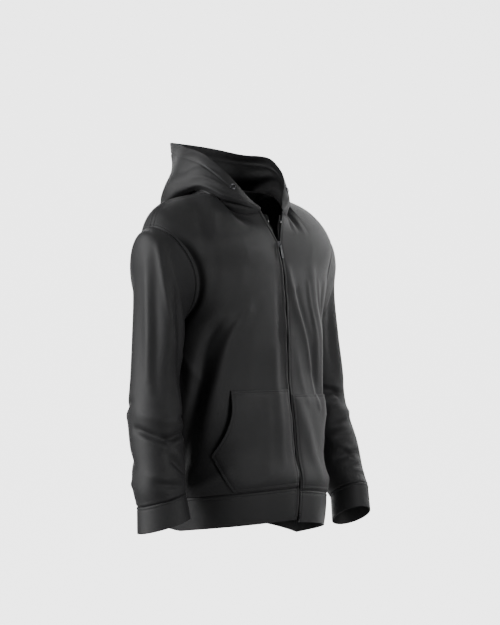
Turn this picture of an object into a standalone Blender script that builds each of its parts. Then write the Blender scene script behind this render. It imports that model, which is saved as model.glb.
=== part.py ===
"""A zip-front hoodie in the hollow form it has when worn, with its hood lying down behind the neck.

Metres, +Z up. The front faces -Y and the wearer's right is at -X. The origin is in the middle of the neck
opening. Each panel is a wall of cloth lofted through levels of the body, each sleeve is lofted through
rings down the arm, and the hood through sections turned about the neck.
"""

import math

import bmesh
import bpy
import numpy as np
from mathutils import Vector, kdtree

# Cloth
WALL = 0.0022  # a smooth double knit
SEAM_GAP = 0.0003
SIDES = {"right": -1, "left": 1}

# Columns and rows of the cut pieces
NECK_COLUMNS = 7
SHOULDER_COLUMNS = 9
ROWS_BELOW_ARM = 11
ROWS_BESIDE_ARM = 9
BAND_ROWS = 2
SLEEVE_ROWS = 19
CUFF_ROWS = 2
HOOD_ROWS = 14
POCKET_COLUMNS = 8
POCKET_ROWS = 10

# Heights, as stations of the front and back panels
HEM_SEAM = -0.600
UNDERARM = -0.285
TOP = -0.040
ZIP_OPENS = -0.108
BAND_HEIGHT = 0.063
BAND_PULLS_IN = 0.0055  # at its lower edge
CUFF_HEIGHT = 0.050

# Neck opening: an oval, cut open at the front
NECK_HALF_WIDTH = 0.100
NECK_FRONT = 0.088
NECK_BACK = 0.078
NECK_OPEN_AZIMUTH = 21.7  # degrees from straight ahead to each front corner
NECK_SHARE = 0.42  # of a panel's width at the top

# Zip
ZIP_HALF_GAP = 0.0015  # from the middle to the edge of the cloth, where it is closed
TAPE_WALL = 0.0012
TAPE_WIDTH = 0.013
ARC_OF_FRONT = 0.265  # across one front panel at the chest

SQUARENESS = 0.88  # power of the sine and cosine in a level's curve: 1 is an ellipse


def table(columns, *rows):
    """Named columns of a short table, one array for each."""
    return {name: np.array(values, float) for name, values in zip(columns.split(), zip(*rows), strict=True)}


# Each level runs from the middle (centre_*) to the side seam or armhole (side_*). The drops are added to its
# height, sweep is the turn of its curve in degrees, and rise lifts it half-way across.
FRONT_LEVELS = table(
    "height side_x side_y side_drop centre_y centre_drop sweep rise",
    (HEM_SEAM, 0.182, 0.000, -0.008, -0.1550, 0.012, 90, 0.000),
    (-0.575, 0.191, 0.000, -0.006, -0.1555, 0.009, 90, 0.000),
    (-0.530, 0.187, 0.000, 0.000, -0.1460, 0.003, 90, 0.000),
    (-0.460, 0.192, 0.000, 0.000, -0.1385, 0.000, 90, 0.000),
    (-0.380, 0.200, 0.000, 0.000, -0.1270, 0.000, 90, 0.000),
    (UNDERARM, 0.200, 0.000, 0.000, -0.1240, 0.000, 90, 0.000),
    (-0.225, 0.194, -0.048, 0.000, -0.1200, 0.000, 75, 0.000),
    (-0.165, 0.203, -0.061, 0.000, -0.1135, 0.002, 62, 0.000),
    (-0.100, 0.237, -0.042, -0.004, -0.0990, 0.000, 62, 0.012),
)
BACK_LEVELS = table(
    "height side_x side_y side_drop centre_y centre_drop sweep rise",
    (HEM_SEAM, 0.182, 0.000, -0.008, 0.1220, -0.002, 90, 0.000),
    (-0.575, 0.191, 0.000, -0.006, 0.1300, -0.002, 90, 0.000),
    (-0.530, 0.187, 0.000, 0.000, 0.1270, 0.000, 90, 0.000),
    (-0.460, 0.192, 0.000, 0.000, 0.1160, 0.000, 90, 0.000),
    (-0.380, 0.200, 0.000, 0.000, 0.1130, 0.000, 90, 0.000),
    (UNDERARM, 0.200, 0.000, 0.000, 0.1220, 0.000, 90, 0.000),
    (-0.225, 0.197, 0.044, 0.000, 0.1280, 0.000, 75, 0.000),
    (-0.165, 0.204, 0.057, 0.000, 0.1270, 0.000, 62, 0.000),
    (-0.100, 0.237, 0.050, -0.004, 0.1170, 0.010, 62, 0.015),
)
# How much lower or higher the hem hangs, at the middle and at the side, fading to none at the underarm
FRONT_SAG = {"right": (0.000, 0.000), "left": (-0.006, -0.025)}
BACK_SAG = {"right": (0.008, 0.000), "left": (0.008, -0.025)}

# The shoulder seam, from the neck over the shoulder to the top of the armhole
SHOULDER_SEAM = table(
    "x y z",
    (0.155, 0.008, -0.018),
    (0.208, 0.015, -0.033),
    (0.235, 0.013, -0.052),
    (0.252, 0.0075, -0.080),
)
NECK_RISE = table(
    "azimuth z",
    (21.7, -0.044),
    (38, -0.051),
    (52, -0.049),
    (66, -0.038),
    (90, -0.010),
    (130, 0.004),
    (180, 0.012),
)

# The hood's sections, by azimuth from straight ahead. Each climbs from the neck seam over its underside to the
# fold that rests on the shoulder or the back, and up the outside to the rim.
HOOD_SECTIONS = table(
    "azimuth under_r under_z fold_r fold_z side_r side_z waist_r waist_z rim_r rim_z",
    (21.7, 0.0897, -0.0430, 0.0900, -0.0420, 0.0898, -0.0405, 0.0892, -0.0390, 0.0885, -0.0375),
    (38, 0.0945, -0.0430, 0.0958, -0.0370, 0.0950, -0.0305, 0.0905, -0.0240, 0.0848, -0.0175),
    (52, 0.0990, -0.0380, 0.1022, -0.0280, 0.1012, -0.0180, 0.0965, -0.0060, 0.0897, 0.0060),
    (66, 0.1035, -0.0300, 0.1080, -0.0180, 0.1075, -0.0060, 0.1025, 0.0120, 0.0955, 0.0310),
    (80, 0.1065, -0.0150, 0.1115, -0.0020, 0.1115, 0.0100, 0.1070, 0.0300, 0.0975, 0.0510),
    (94, 0.1090, -0.0030, 0.1168, 0.0070, 0.1182, 0.0190, 0.1120, 0.0440, 0.1005, 0.0675),
    (108, 0.1160, -0.0050, 0.1275, 0.0000, 0.1290, 0.0150, 0.1185, 0.0450, 0.1025, 0.0760),
    (124, 0.1270, -0.0200, 0.1460, -0.0210, 0.1500, 0.0000, 0.1310, 0.0440, 0.1070, 0.0820),
    (150, 0.1360, -0.0580, 0.1580, -0.0860, 0.1660, -0.0480, 0.1420, 0.0440, 0.1266, 0.0930),
    (180, 0.1400, -0.0720, 0.1680, -0.1120, 0.1990, -0.0620, 0.1740, 0.0450, 0.1873, 0.1030),
)
HOOD_STATIONS = np.array([0.0, 0.22, 0.36, 0.50, 0.78, 1.0])  # neck, under, fold, side, waist, rim
HOOD_LIFT = 0.0008  # above the neck edge of the panels

# Rings down each arm: centre, half-width across and from front to back, the lean of the ring's plane (how much
# higher its outer and its front point are than its centre), and its turn in degrees about the arm.
SLEEVE_RINGS = {
    "right": table(
        "x y z across deep outer_up front_up turn",
        (0.2425, -0.001, -0.1930, 0.0400, 0.0610, 0.0960, 0.003, 0),
        (0.2475, -0.009, -0.2350, 0.0440, 0.0550, 0.0640, 0.003, 0),
        (0.2535, -0.012, -0.3050, 0.0450, 0.0530, 0.0260, 0.002, 4),
        (0.2580, -0.009, -0.3700, 0.0430, 0.0500, 0.0080, 0.001, 8),
        (0.2610, -0.012, -0.4400, 0.0450, 0.0550, 0.0010, 0.004, 14),
        (0.2650, -0.022, -0.5200, 0.0450, 0.0510, -0.0030, 0.009, 24),
        (0.2690, -0.031, -0.5780, 0.0450, 0.0500, -0.0050, 0.012, 32),
        (0.2690, -0.036, -0.6020, 0.0380, 0.0470, -0.0050, 0.013, 38),
    ),
    "left": table(
        "x y z across deep outer_up front_up turn",
        (0.2410, 0.013, -0.1930, 0.0385, 0.0550, 0.0930, 0.003, 0),
        (0.2470, 0.023, -0.2350, 0.0440, 0.0500, 0.0620, 0.003, 0),
        (0.2540, 0.021, -0.3050, 0.0455, 0.0510, 0.0260, 0.002, 4),
        (0.2590, 0.008, -0.3700, 0.0440, 0.0500, 0.0080, 0.002, 8),
        (0.2620, 0.000, -0.4400, 0.0450, 0.0530, 0.0010, 0.006, 14),
        (0.2670, -0.029, -0.5200, 0.0445, 0.0510, 0.0000, 0.014, 24),
        (0.2710, -0.045, -0.5880, 0.0440, 0.0500, 0.0030, 0.019, 32),
        (0.2730, -0.061, -0.6140, 0.0385, 0.0470, 0.0060, 0.021, 38),
    ),
}
CUFF_SHIFT = {"right": (0.0005, -0.007), "left": (0.0015, -0.004)}  # of the lower edge, outwards and forwards
CUFF_FLARE = {"right": 0.09, "left": 0.02}

# Large folds: from one end to the other, across the panel as a share of its width and by height. The depth is
# out of the cloth where positive, a trough where negative.
FRONT_FOLDS = {
    "right": table(
        "share_a height_a share_b height_b half_width depth",
        (0.65, -0.285, 0.92, -0.535, 0.017, -0.0105),
        (0.46, -0.245, 0.76, -0.480, 0.018, 0.0060),
        (0.84, -0.250, 0.95, -0.400, 0.015, 0.0030),
        (0.88, -0.300, 0.52, -0.170, 0.020, 0.0040),
        (0.22, -0.300, 0.42, -0.560, 0.028, -0.0030),
    ),
    "left": table(
        "share_a height_a share_b height_b half_width depth",
        (0.06, -0.170, 0.28, -0.350, 0.013, 0.0050),
        (0.16, -0.210, 0.38, -0.400, 0.015, -0.0060),
        (0.45, -0.170, 0.47, -0.440, 0.018, 0.0060),
        (0.70, -0.200, 0.58, -0.340, 0.016, -0.0060),
        (0.66, -0.400, 0.50, -0.585, 0.032, -0.0090),
        (0.09, -0.430, 0.24, -0.560, 0.016, 0.0040),
    ),
}
# Across the back, from -1 at the right side seam to 1 at the left one
BACK_FOLDS = table(
    "share_a height_a share_b height_b half_width depth",
    (-0.80, -0.250, -0.30, -0.480, 0.026, -0.0080),
    (-0.86, -0.330, -0.55, -0.560, 0.020, 0.0060),
    (-0.15, -0.300, -0.05, -0.560, 0.030, 0.0050),
    (0.28, -0.260, 0.12, -0.540, 0.024, -0.0060),
    (0.80, -0.240, 0.38, -0.450, 0.024, 0.0070),
    (0.88, -0.340, 0.62, -0.570, 0.022, -0.0070),
)
# Round each sleeve, as degrees from the inner side over the front, and by share of its length
SLEEVE_FOLDS = {
    "right": table(
        "turn_a length_a turn_b length_b half_width depth",
        (95, 0.16, 75, 0.50, 0.014, -0.0060),
        (125, 0.10, 112, 0.52, 0.016, 0.0050),
        (200, 0.18, 185, 0.55, 0.020, -0.0035),
        (200, 0.700, 136, 0.756, 0.010, -0.0070),
        (136, 0.756, 68, 0.732, 0.010, -0.0060),
        (95, 0.690, 190, 0.640, 0.013, 0.0045),
        (140, 0.815, 100, 0.895, 0.010, -0.0050),
        (170, 0.920, 118, 0.960, 0.009, -0.0040),
        (258, 0.640, 330, 0.700, 0.014, 0.0060),
        (300, 0.760, 232, 0.840, 0.014, -0.0050),
    ),
    "left": table(
        "turn_a length_a turn_b length_b half_width depth",
        (100, 0.14, 85, 0.46, 0.015, -0.0055),
        (130, 0.12, 118, 0.50, 0.016, 0.0050),
        (205, 0.18, 190, 0.50, 0.020, -0.0035),
        (45, 0.535, 106, 0.572, 0.011, -0.0070),
        (70, 0.640, 138, 0.650, 0.012, 0.0040),
        (50, 0.735, 118, 0.700, 0.011, -0.0050),
        (42, 0.780, 95, 0.848, 0.009, 0.0045),
        (60, 0.872, 124, 0.850, 0.009, -0.0055),
        (255, 0.580, 330, 0.620, 0.014, 0.0060),
        (300, 0.720, 230, 0.780, 0.014, -0.0050),
    ),
}
# Round the hood: degrees from straight ahead over the left side, the back (180) and the right side, and the
# share of the way from the neck seam to the rim
HOOD_FOLDS = table(
    "turn_a length_a turn_b length_b half_width depth",
    (96, 0.66, 150, 0.80, 0.016, -0.0060),
    (150, 0.80, 202, 0.70, 0.016, -0.0060),
    (118, 0.52, 172, 0.56, 0.018, 0.0050),
    (176, 0.44, 216, 0.52, 0.016, -0.0045),
    (204, 0.86, 248, 0.66, 0.018, -0.0030),
    (210, 0.96, 260, 0.92, 0.012, 0.0020),
    (104, 0.94, 148, 0.93, 0.012, 0.0025),
)
HOOD_SAG = {"right": 0.0, "left": -0.007}  # of the rim, half-way from the side to the back
SLEEVE_GIRTH = 0.31
SLEEVE_LENGTH = 0.52
HOOD_GIRTH = 0.75
HOOD_LENGTH = 0.20
FADE = 0.022  # a fold fades out this near a seam

# The half pocket's outer edge, as a share of the panel's width: hand opening from the top to the corner, then
# the stitched edge down to the band
POCKET_EDGE = table(
    "height share",
    (-0.5955, 0.565),
    (-0.5230, 0.715),
    (-0.5060, 0.668),
    (-0.4800, 0.610),
    (-0.4450, 0.562),
    (-0.3960, 0.548),
)
POCKET_INNER_SHARE = 0.014
POCKET_TOP = {"right": -0.396, "left": -0.405}
POCKET_STANDS_OFF = 0.0019
POCKET_MOUTH_OPENS = 0.0050

TAPE_BEHIND = 0.0009  # from the back of the cloth to the tape
TAPE_COLUMNS = (0.004, TAPE_WIDTH)

# Zip slider and pull
SLIDER_SIZE = (0.0088, 0.0014, 0.0118)  # its front plate
SLIDER_HEIGHT = -0.1105
SLIDER_OFF = 0.0007  # from the cloth to the plate
SLIDER_BEVEL = 0.0006
BRIDGE_WIDTH = 0.0016
BRIDGE_BAR = 0.0010
BRIDGE_REACH = 0.0026  # from the pull's axis to the outside of each leg of the bridge
BRIDGE_OUT = 0.0021  # from the pull's axis to the front of the bridge
BRIDGE_ROOT = 0.0004  # its legs' depth in the plate
PULL_AXIS_OUT = 0.0016  # from the slider's plate to the pull's axis
PULL_SIZE = (0.0058, 0.0012, 0.0290)
PULL_BAR_RADIUS = 0.0008
PULL_BEVEL = 0.0004
PULL_EYE = (0.0012, 0.0038)  # half its width, and its length from the axis
PULL_HOLE_RADIUS = 0.0012
PULL_HOLE_UP = 0.0036  # from the lower end
PULL_WAIST = (0.0110, 0.0105)  # radius of the curve of its sides, and how far it is below the axis
PULL_WAIST_DEPTH = 0.0008
PULL_TILT = 15  # degrees, so that it hangs along the slope of the chest
CUTTER_DEPTH = 0.006

# The clips at the top of the zip, and the box at its lower end
TOP_STOP_RADIUS = 0.0011
TOP_STOP_LENGTH = 0.0036
TOP_STOP_SHIFT = (0.0016, -0.0002, 0.0040)  # from the cloth's edge: inwards, ahead and up
BOX_HALF_WIDTH = 0.0034
BOX_DEPTH = 0.0018
BOX_OFF = 0.0006  # ahead of the band
BOX_FROM = 0.0010  # above the band's lower edge
BOX_TO = 0.0105

EYELET_AZIMUTH = 57
EYELET_SHARE = 0.80
EYELET_RADIUS = 0.0062
EYELET_HOLE = 0.0032
EYELET_RISE = 0.0014
EYELET_OFF = 0.0012
EYELET_BEVEL = 0.0003
EYELET_SIDES = 20


# Curves ---------------------------------------------------------------------------------------------------


def smooth(at, stations, values):
    """Values on a smooth curve through the stations."""
    return loft(values, stations, np.asarray(at, float))


def loft(controls, stations, at, end_slope=None):
    """Rows at the wanted stations, on smooth curves through the control rows."""
    controls = np.asarray(controls, float)
    slopes = np.gradient(controls, stations, axis=0)
    if end_slope is not None:
        slopes[-1] = end_slope
    left = np.clip(np.searchsorted(stations, at, side="right") - 1, 0, len(stations) - 2)
    shape = (-1,) + (1,) * (controls.ndim - 1)
    width = (stations[left + 1] - stations[left]).reshape(shape)
    t = np.clip((at - stations[left]).reshape(shape) / width, 0, 1)
    start = (2 * t**3 - 3 * t**2 + 1) * controls[left] + (t**3 - 2 * t**2 + t) * width * slopes[left]
    end = (3 * t**2 - 2 * t**3) * controls[left + 1] + (t**3 - t**2) * width * slopes[left + 1]
    return start + end


def ease(t):
    """0 to 1 with level ends."""
    t = np.clip(t, 0, 1)
    return t * t * (3 - 2 * t)


def at_shares(points, shares):
    """Points of a dense polyline at shares of its length."""
    steps = np.linalg.norm(np.diff(points, axis=0), axis=1)
    along = np.concatenate([[0], np.cumsum(steps)])
    along /= along[-1]
    return np.stack([np.interp(shares, along, points[:, axis]) for axis in range(3)], axis=1)


# The body of the hoodie -----------------------------------------------------------------------------------


def level_curve(levels, index, shares):
    """One level of a panel on the +X side, from its middle to its side."""
    row = {name: column[index] for name, column in levels.items()}
    turn = np.radians(np.linspace(0, row["sweep"], 80))
    power = SQUARENESS
    last_sine = math.sin(math.radians(row["sweep"])) ** power
    last_cosine = max(math.cos(math.radians(row["sweep"])), 0) ** power
    across = np.sin(turn) ** power / last_sine
    ahead = (np.clip(np.cos(turn), 0, 1) ** power - last_cosine) / (1 - last_cosine)
    x = row["side_x"] * across
    y = row["side_y"] + (row["centre_y"] - row["side_y"]) * ahead
    curve = at_shares(np.stack([x, y, np.zeros(len(x))], axis=1), shares)
    drop = row["centre_drop"] + (row["side_drop"] - row["centre_drop"]) * shares**1.5
    curve[:, 2] = row["height"] + drop + row["rise"] * 4 * shares * (1 - shares)
    return curve


def neck_radius(azimuth):
    """From the origin to the neck edge, by azimuth in degrees from straight ahead."""
    depth = np.where(azimuth < 90, NECK_FRONT, NECK_BACK)
    sine = np.sin(np.radians(azimuth))
    cosine = np.cos(np.radians(azimuth))
    return 1 / np.sqrt((sine / NECK_HALF_WIDTH) ** 2 + (cosine / depth) ** 2)


def turned(azimuth, radius, z):
    """Points about the neck on the +X side."""
    angle = np.radians(azimuth)
    return np.stack([radius * np.sin(angle), -radius * np.cos(angle), z + 0 * angle], axis=-1)


def neck_edge(azimuth):
    return turned(azimuth, neck_radius(azimuth), smooth(azimuth, NECK_RISE["azimuth"], NECK_RISE["z"]))


def shoulder_seam(shares):
    """From the neck to the top of the armhole."""
    controls = np.stack([SHOULDER_SEAM[axis] for axis in "xyz"], axis=1)
    controls = np.concatenate([neck_edge(np.array([90.0])), controls])
    along = np.concatenate([[0], np.cumsum(np.linalg.norm(np.diff(controls, axis=0), axis=1))])
    return at_shares(loft(controls, along, np.linspace(0, along[-1], 120)), shares)


def top_edge(shares, first_azimuth):
    """A panel's upper edge: round the neck, then along the shoulder."""
    on_neck = shares < NECK_SHARE + 1e-9
    azimuth = first_azimuth + (90 - first_azimuth) * shares / NECK_SHARE
    edge = neck_edge(np.where(on_neck, azimuth, 90))
    edge[~on_neck] = shoulder_seam((shares[~on_neck] - NECK_SHARE) / (1 - NECK_SHARE))
    return edge


def zip_edge_x(heights):
    """How far the edge of a front panel is from the middle: closed up to the slider, then a straight V."""
    opened = np.clip((heights - ZIP_OPENS) / (TOP - ZIP_OPENS), 0, 1)
    corner_x = neck_edge(np.array([NECK_OPEN_AZIMUTH]))[0, 0]
    return ZIP_HALF_GAP + (corner_x - ZIP_HALF_GAP) * opened


def panel_grid(levels, first_azimuth, shares, heights, sag, opened):
    """Rows of points up one half panel on the +X side. The last level is its upper edge."""
    rows = [level_curve(levels, index, shares) for index in range(len(levels["height"]))]
    other = FRONT_LEVELS if levels is BACK_LEVELS else BACK_LEVELS
    beyond = level_curve(other, len(other["height"]) - 1, shares)
    top = top_edge(shares, first_azimuth)
    stations = np.append(levels["height"], TOP)
    rise = (top - rows[-1]) / (TOP - levels["height"][-1])
    over = beyond - rows[-1]
    over = over / np.linalg.norm(over, axis=1, keepdims=True) * np.linalg.norm(rise, axis=1, keepdims=True)
    on_shoulder = ease((shares - 0.6 * NECK_SHARE) / (0.4 * NECK_SHARE))[:, None]
    grid = loft(rows + [top], stations, heights, rise * (1 - on_shoulder) + over * on_shoulder)
    fade = ease((UNDERARM - heights) / (UNDERARM - HEM_SEAM))[:, None]
    grid[:, :, 2] += fade * (sag[0] + (sag[1] - sag[0]) * shares**1.5)
    if opened:
        grid[:, :, 0] += (zip_edge_x(heights) - grid[:, 0, 0])[:, None] * (1 - shares) ** 2
    return grid


def fold_offset(folds, first, second, first_scale, second_scale):
    """How far the folds push the cloth out, at the given places of a piece."""
    total = np.zeros(np.broadcast(first, second).shape)
    names = list(folds)
    for a1, a2, b1, b2, half_width, depth in zip(*(folds[name] for name in names)):
        start = np.array([a1 * first_scale, a2 * second_scale])
        run = np.array([b1 * first_scale, b2 * second_scale]) - start
        length = np.hypot(*run)
        run /= length
        dx = first * first_scale - start[0]
        dy = second * second_scale - start[1]
        along = dx * run[0] + dy * run[1]
        aside = (dx * run[1] - dy * run[0]) / half_width
        past = np.maximum(np.maximum(-along, along - length), 0) / half_width
        inside = 0.55 + 0.45 * np.sin(np.pi * np.clip(along / length, 0, 1))
        total += depth * inside * np.exp(-(aside**2) - past**2)
    return total


def normals_of(grid, wraps, flip):
    """Unit normals of a grid of points, turned round where flip is -1."""
    padded = np.concatenate([grid[:, -1:], grid, grid[:, :1]], axis=1) if wraps else grid
    up = np.gradient(padded, axis=0)
    across = np.gradient(padded, axis=1)
    normal = np.cross(up, across)
    if wraps:
        normal = normal[:, 1:-1]
    length = np.linalg.norm(normal, axis=2, keepdims=True)
    return flip * normal / np.maximum(length, 1e-12)


def grid_shares():
    neck = np.linspace(0, NECK_SHARE, NECK_COLUMNS + 1)
    shoulder = np.linspace(NECK_SHARE, 1, SHOULDER_COLUMNS + 1)
    return np.concatenate([neck, shoulder[1:]])


def grid_heights():
    low = np.linspace(HEM_SEAM, UNDERARM, ROWS_BELOW_ARM + 1)
    high = np.linspace(UNDERARM, TOP, ROWS_BESIDE_ARM + 1)
    return np.concatenate([low, high[1:]])


def front_panel(side):
    """Points of a front panel, with its large folds."""
    shares, heights = grid_shares(), grid_heights()
    sign = SIDES[side]
    grid = panel_grid(FRONT_LEVELS, NECK_OPEN_AZIMUTH, shares, heights, FRONT_SAG[side], True)
    normal = normals_of(grid, False, -1)
    depth = fold_offset(FRONT_FOLDS[side], shares[None, :], heights[:, None], ARC_OF_FRONT, 1)
    to_edges = np.minimum(shares, 1 - shares)[None, :] * ARC_OF_FRONT
    to_ends = np.minimum(heights - HEM_SEAM, (TOP - heights) * 1.5)[:, None]
    depth = depth * ease(to_edges / FADE) * ease(to_ends / FADE)
    grid = grid + normal * depth[:, :, None]
    grid[:, :, 0] *= sign
    return grid


def back_panel():
    """Points of the back panel, from its right side seam to its left one."""
    shares, heights = grid_shares(), grid_heights()
    halves = []
    for side in ("right", "left"):
        half = panel_grid(BACK_LEVELS, 180, shares, heights, BACK_SAG[side], False)
        half[:, :, 0] *= SIDES[side]
        halves.append(half)
    grid = np.concatenate([halves[0][:, ::-1], halves[1][:, 1:]], axis=1)
    across = np.concatenate([-shares[::-1], shares[1:]])
    normal = normals_of(grid, False, 1)
    depth = fold_offset(BACK_FOLDS, across[None, :], heights[:, None], ARC_OF_FRONT, 1)
    to_edges = (1 - np.abs(across))[None, :] * ARC_OF_FRONT
    to_ends = np.minimum(heights - HEM_SEAM, (TOP - heights) * 1.5)[:, None]
    depth = depth * ease(to_edges / FADE) * ease(to_ends / FADE)
    return grid + normal * depth[:, :, None]


def hem_band(front_right, back, front_left):
    """Down from the hem seams of the three panels, round from the right zip edge to the left one."""
    seam = np.concatenate([front_right[0], back[0][1:-1], front_left[0][::-1]])
    out = seam * np.array([1, 1, 0])
    length = np.linalg.norm(out, axis=1, keepdims=True)
    rows = []
    for step in np.linspace(0, 1, BAND_ROWS + 1):
        row = seam - out / length * BAND_PULLS_IN * step * step
        row[:, 2] -= BAND_HEIGHT * step
        rows.append(row)
    return np.array(rows[::-1])


# Sleeves --------------------------------------------------------------------------------------------------


def ring_points(rings, index, turns, sign):
    """One ring of a sleeve. The turns run from its inner side over its front to its outer side and its back."""
    row = {name: column[index] for name, column in rings.items()}
    inwards = np.cos(turns)
    ahead = np.sin(turns)
    twist = math.radians(row["turn"])
    x = -row["across"] * inwards
    y = -row["deep"] * ahead
    centre_x, centre_y = row["x"], row["y"]
    points_x = centre_x + x * math.cos(twist) + y * math.sin(twist)
    points_y = centre_y + y * math.cos(twist) - x * math.sin(twist)
    points_z = row["z"] - row["outer_up"] * inwards + row["front_up"] * ahead
    return np.stack([sign * points_x, points_y, points_z], axis=1)


def armhole(front, back_half):
    """The loop of the armhole: from the underarm up the front edge, and down the back edge."""
    up = front[ROWS_BELOW_ARM:, -1]
    down = back_half[ROWS_BELOW_ARM:][::-1]
    return np.concatenate([up, down[1:-1]])


def sleeve(side, loop):
    """Rows of points down a sleeve, with its large folds, and the shares of its length that they are at."""
    rings = SLEEVE_RINGS[side]
    count = len(loop)
    turns = np.linspace(0, 2 * math.pi, count, endpoint=False)
    controls = [loop] + [ring_points(rings, i, turns, SIDES[side]) for i in range(len(rings["z"]))]
    controls = np.array(controls)
    middles = controls.mean(axis=1)
    steps = np.linalg.norm(np.diff(middles, axis=0), axis=1)
    stations = np.concatenate([[0], np.cumsum(steps)])
    stations /= stations[-1]
    shares = np.linspace(0, 1, SLEEVE_ROWS + 1)
    grid = loft(controls, stations, shares)
    normal = normals_of(grid, True, SIDES[side])
    degrees = np.degrees(turns)
    depth = 0
    for lap in (-360, 0, 360):
        depth = depth + fold_offset(
            SLEEVE_FOLDS[side], (degrees + lap)[None, :], shares[:, None], SLEEVE_GIRTH / 360, SLEEVE_LENGTH
        )
    to_ends = (np.minimum(shares, 1 - shares) * SLEEVE_LENGTH)[:, None]
    depth = depth * ease(to_ends / FADE)
    return grid + normal * depth[:, :, None]


def cuff(side, seam):
    shift = CUFF_SHIFT[side]
    rows = []
    for step in np.linspace(0, 1, CUFF_ROWS + 1):
        middle = seam.mean(axis=0)
        row = seam + (seam - middle) * CUFF_FLARE[side] * step
        row[:, 0] += SIDES[side] * shift[0] * step
        row[:, 1] += shift[1] * step
        row[:, 2] -= CUFF_HEIGHT * step
        rows.append(row)
    return np.array(rows)


# Hood -----------------------------------------------------------------------------------------------------


def hood_azimuths():
    front = np.linspace(NECK_OPEN_AZIMUTH, 90, NECK_COLUMNS + 1)
    return np.concatenate([front, np.linspace(90, 180, NECK_COLUMNS + 2)[1:]])


def hood_controls(azimuths, sag):
    """The hood's control rows on the +X side: neck, underside, fold, side, waist and rim."""
    neck = neck_edge(azimuths)
    neck[:, 2] += HOOD_LIFT
    rows = [neck]
    half_way = np.sin(np.radians(np.clip(azimuths - 90, 0, 90) * 2)) ** 2
    for place, share in (("under", 0), ("fold", 0), ("side", 0.2), ("waist", 0.6), ("rim", 1)):
        radius = smooth(azimuths, HOOD_SECTIONS["azimuth"], HOOD_SECTIONS[place + "_r"])
        z = smooth(azimuths, HOOD_SECTIONS["azimuth"], HOOD_SECTIONS[place + "_z"])
        rows.append(turned(azimuths, radius, z + sag * share * half_way))
    return np.array(rows)


def hood_half(side):
    """Points of one half of the hood, from its front corner to its centre seam, with its large folds."""
    azimuths = hood_azimuths()
    shares = np.linspace(0, 1, HOOD_ROWS + 1)
    grid = loft(hood_controls(azimuths, HOOD_SAG[side]), HOOD_STATIONS, shares)
    normal = normals_of(grid, False, -1)
    turn = azimuths if side == "left" else 360 - azimuths
    depth = fold_offset(HOOD_FOLDS, turn[None, :], shares[:, None], HOOD_GIRTH / 360, HOOD_LENGTH)
    to_front = (azimuths - NECK_OPEN_AZIMUTH) * HOOD_GIRTH / 360
    to_ends = np.minimum(shares, 1 - shares) * HOOD_LENGTH
    depth = depth * ease(to_front / FADE)[None, :] * ease(to_ends / FADE)[:, None]
    grid = grid + normal * depth[:, :, None]
    grid[:, -1, 0] = 0
    grid[:, :, 0] *= SIDES[side]
    return grid


# Meshes ---------------------------------------------------------------------------------------------------


def material(name, colour, roughness, metallic):
    made = bpy.data.materials.new(name)
    made.use_nodes = True
    shader = made.node_tree.nodes["Principled BSDF"]
    shader.inputs["Base Color"].default_value = (*colour, 1)
    shader.inputs["Roughness"].default_value = roughness
    shader.inputs["Metallic"].default_value = metallic
    return made


def add_mesh(name, points, faces, finish):
    mesh = bpy.data.meshes.new(name)
    mesh.from_pydata([tuple(point) for point in points], [], [tuple(face) for face in faces])
    edit = bmesh.new()
    edit.from_mesh(mesh)
    if edit.calc_volume(signed=True) < 0:
        bmesh.ops.reverse_faces(edit, faces=edit.faces)
    bmesh.ops.triangulate(edit, faces=edit.faces, quad_method="FIXED")
    edit.to_mesh(mesh)
    edit.free()
    mesh.shade_smooth()
    mesh.set_sharp_from_angle(angle=math.radians(50))
    made = bpy.data.objects.new(name, mesh)
    made.data.materials.append(finish)
    bpy.context.scene.collection.objects.link(made)
    return made


def drawn_in(grid, wraps):
    """The grid with each free edge moved in by half a seam gap, along the cloth."""
    grid = grid.copy()
    edges = [(0, 1, 0), (-1, -2, 0)]
    if not wraps:
        edges += [(0, 1, 1), (-1, -2, 1)]
    for edge, beside, axis in edges:
        rim = np.take(grid, edge, axis=axis)
        inner = np.take(grid, beside, axis=axis)
        step = inner - rim
        rim = rim + step / np.linalg.norm(step, axis=-1, keepdims=True) * SEAM_GAP / 2
        if axis == 0:
            grid[edge] = rim
        else:
            grid[:, edge] = rim
    return grid


def wall(name, outside, inside, wraps, finish):
    """A closed wall between two grids of the same size."""
    outside, inside = drawn_in(outside, wraps), drawn_in(inside, wraps)
    rows, columns = outside.shape[:2]
    points = np.concatenate([outside.reshape(-1, 3), inside.reshape(-1, 3)])
    half = rows * columns
    index = np.arange(half).reshape(rows, columns)
    if wraps:
        index = np.concatenate([index, index[:, :1]], axis=1)
    faces = []
    for row in range(rows - 1):
        for column in range(index.shape[1] - 1):
            corner = (
                index[row, column],
                index[row, column + 1],
                index[row + 1, column + 1],
                index[row + 1, column],
            )
            faces.append(corner)
            faces.append(tuple(half + point for point in reversed(corner)))
    rims = [index[0], index[-1][::-1]]
    if not wraps:
        rims += [index[::-1, 0], index[:, -1]]
    for rim in rims:
        for a, b in zip(rim[:-1], rim[1:]):
            faces.append((b, a, half + a, half + b))
    return add_mesh(name, points, faces, finish)


def share_normals(sheets):
    """One normal where edges of several sheets meet, so that their walls meet face to face."""
    places = [(name, row, column) for name in sheets for row, column in edge_places(sheets[name])]
    tree = kdtree.KDTree(len(places))
    for number, (name, row, column) in enumerate(places):
        tree.insert(Vector(sheets[name]["grid"][row, column]), number)
    tree.balance()
    shared = {}
    for number, (name, row, column) in enumerate(places):
        near = tree.find_range(Vector(sheets[name]["grid"][row, column]), 2e-5)
        total = sum(sheets[places[i][0]]["normal"][places[i][1], places[i][2]] for _, i, _ in near)
        shared[number] = total / np.linalg.norm(total)
    for number, (name, row, column) in enumerate(places):
        sheets[name]["normal"][row, column] = shared[number]


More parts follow.
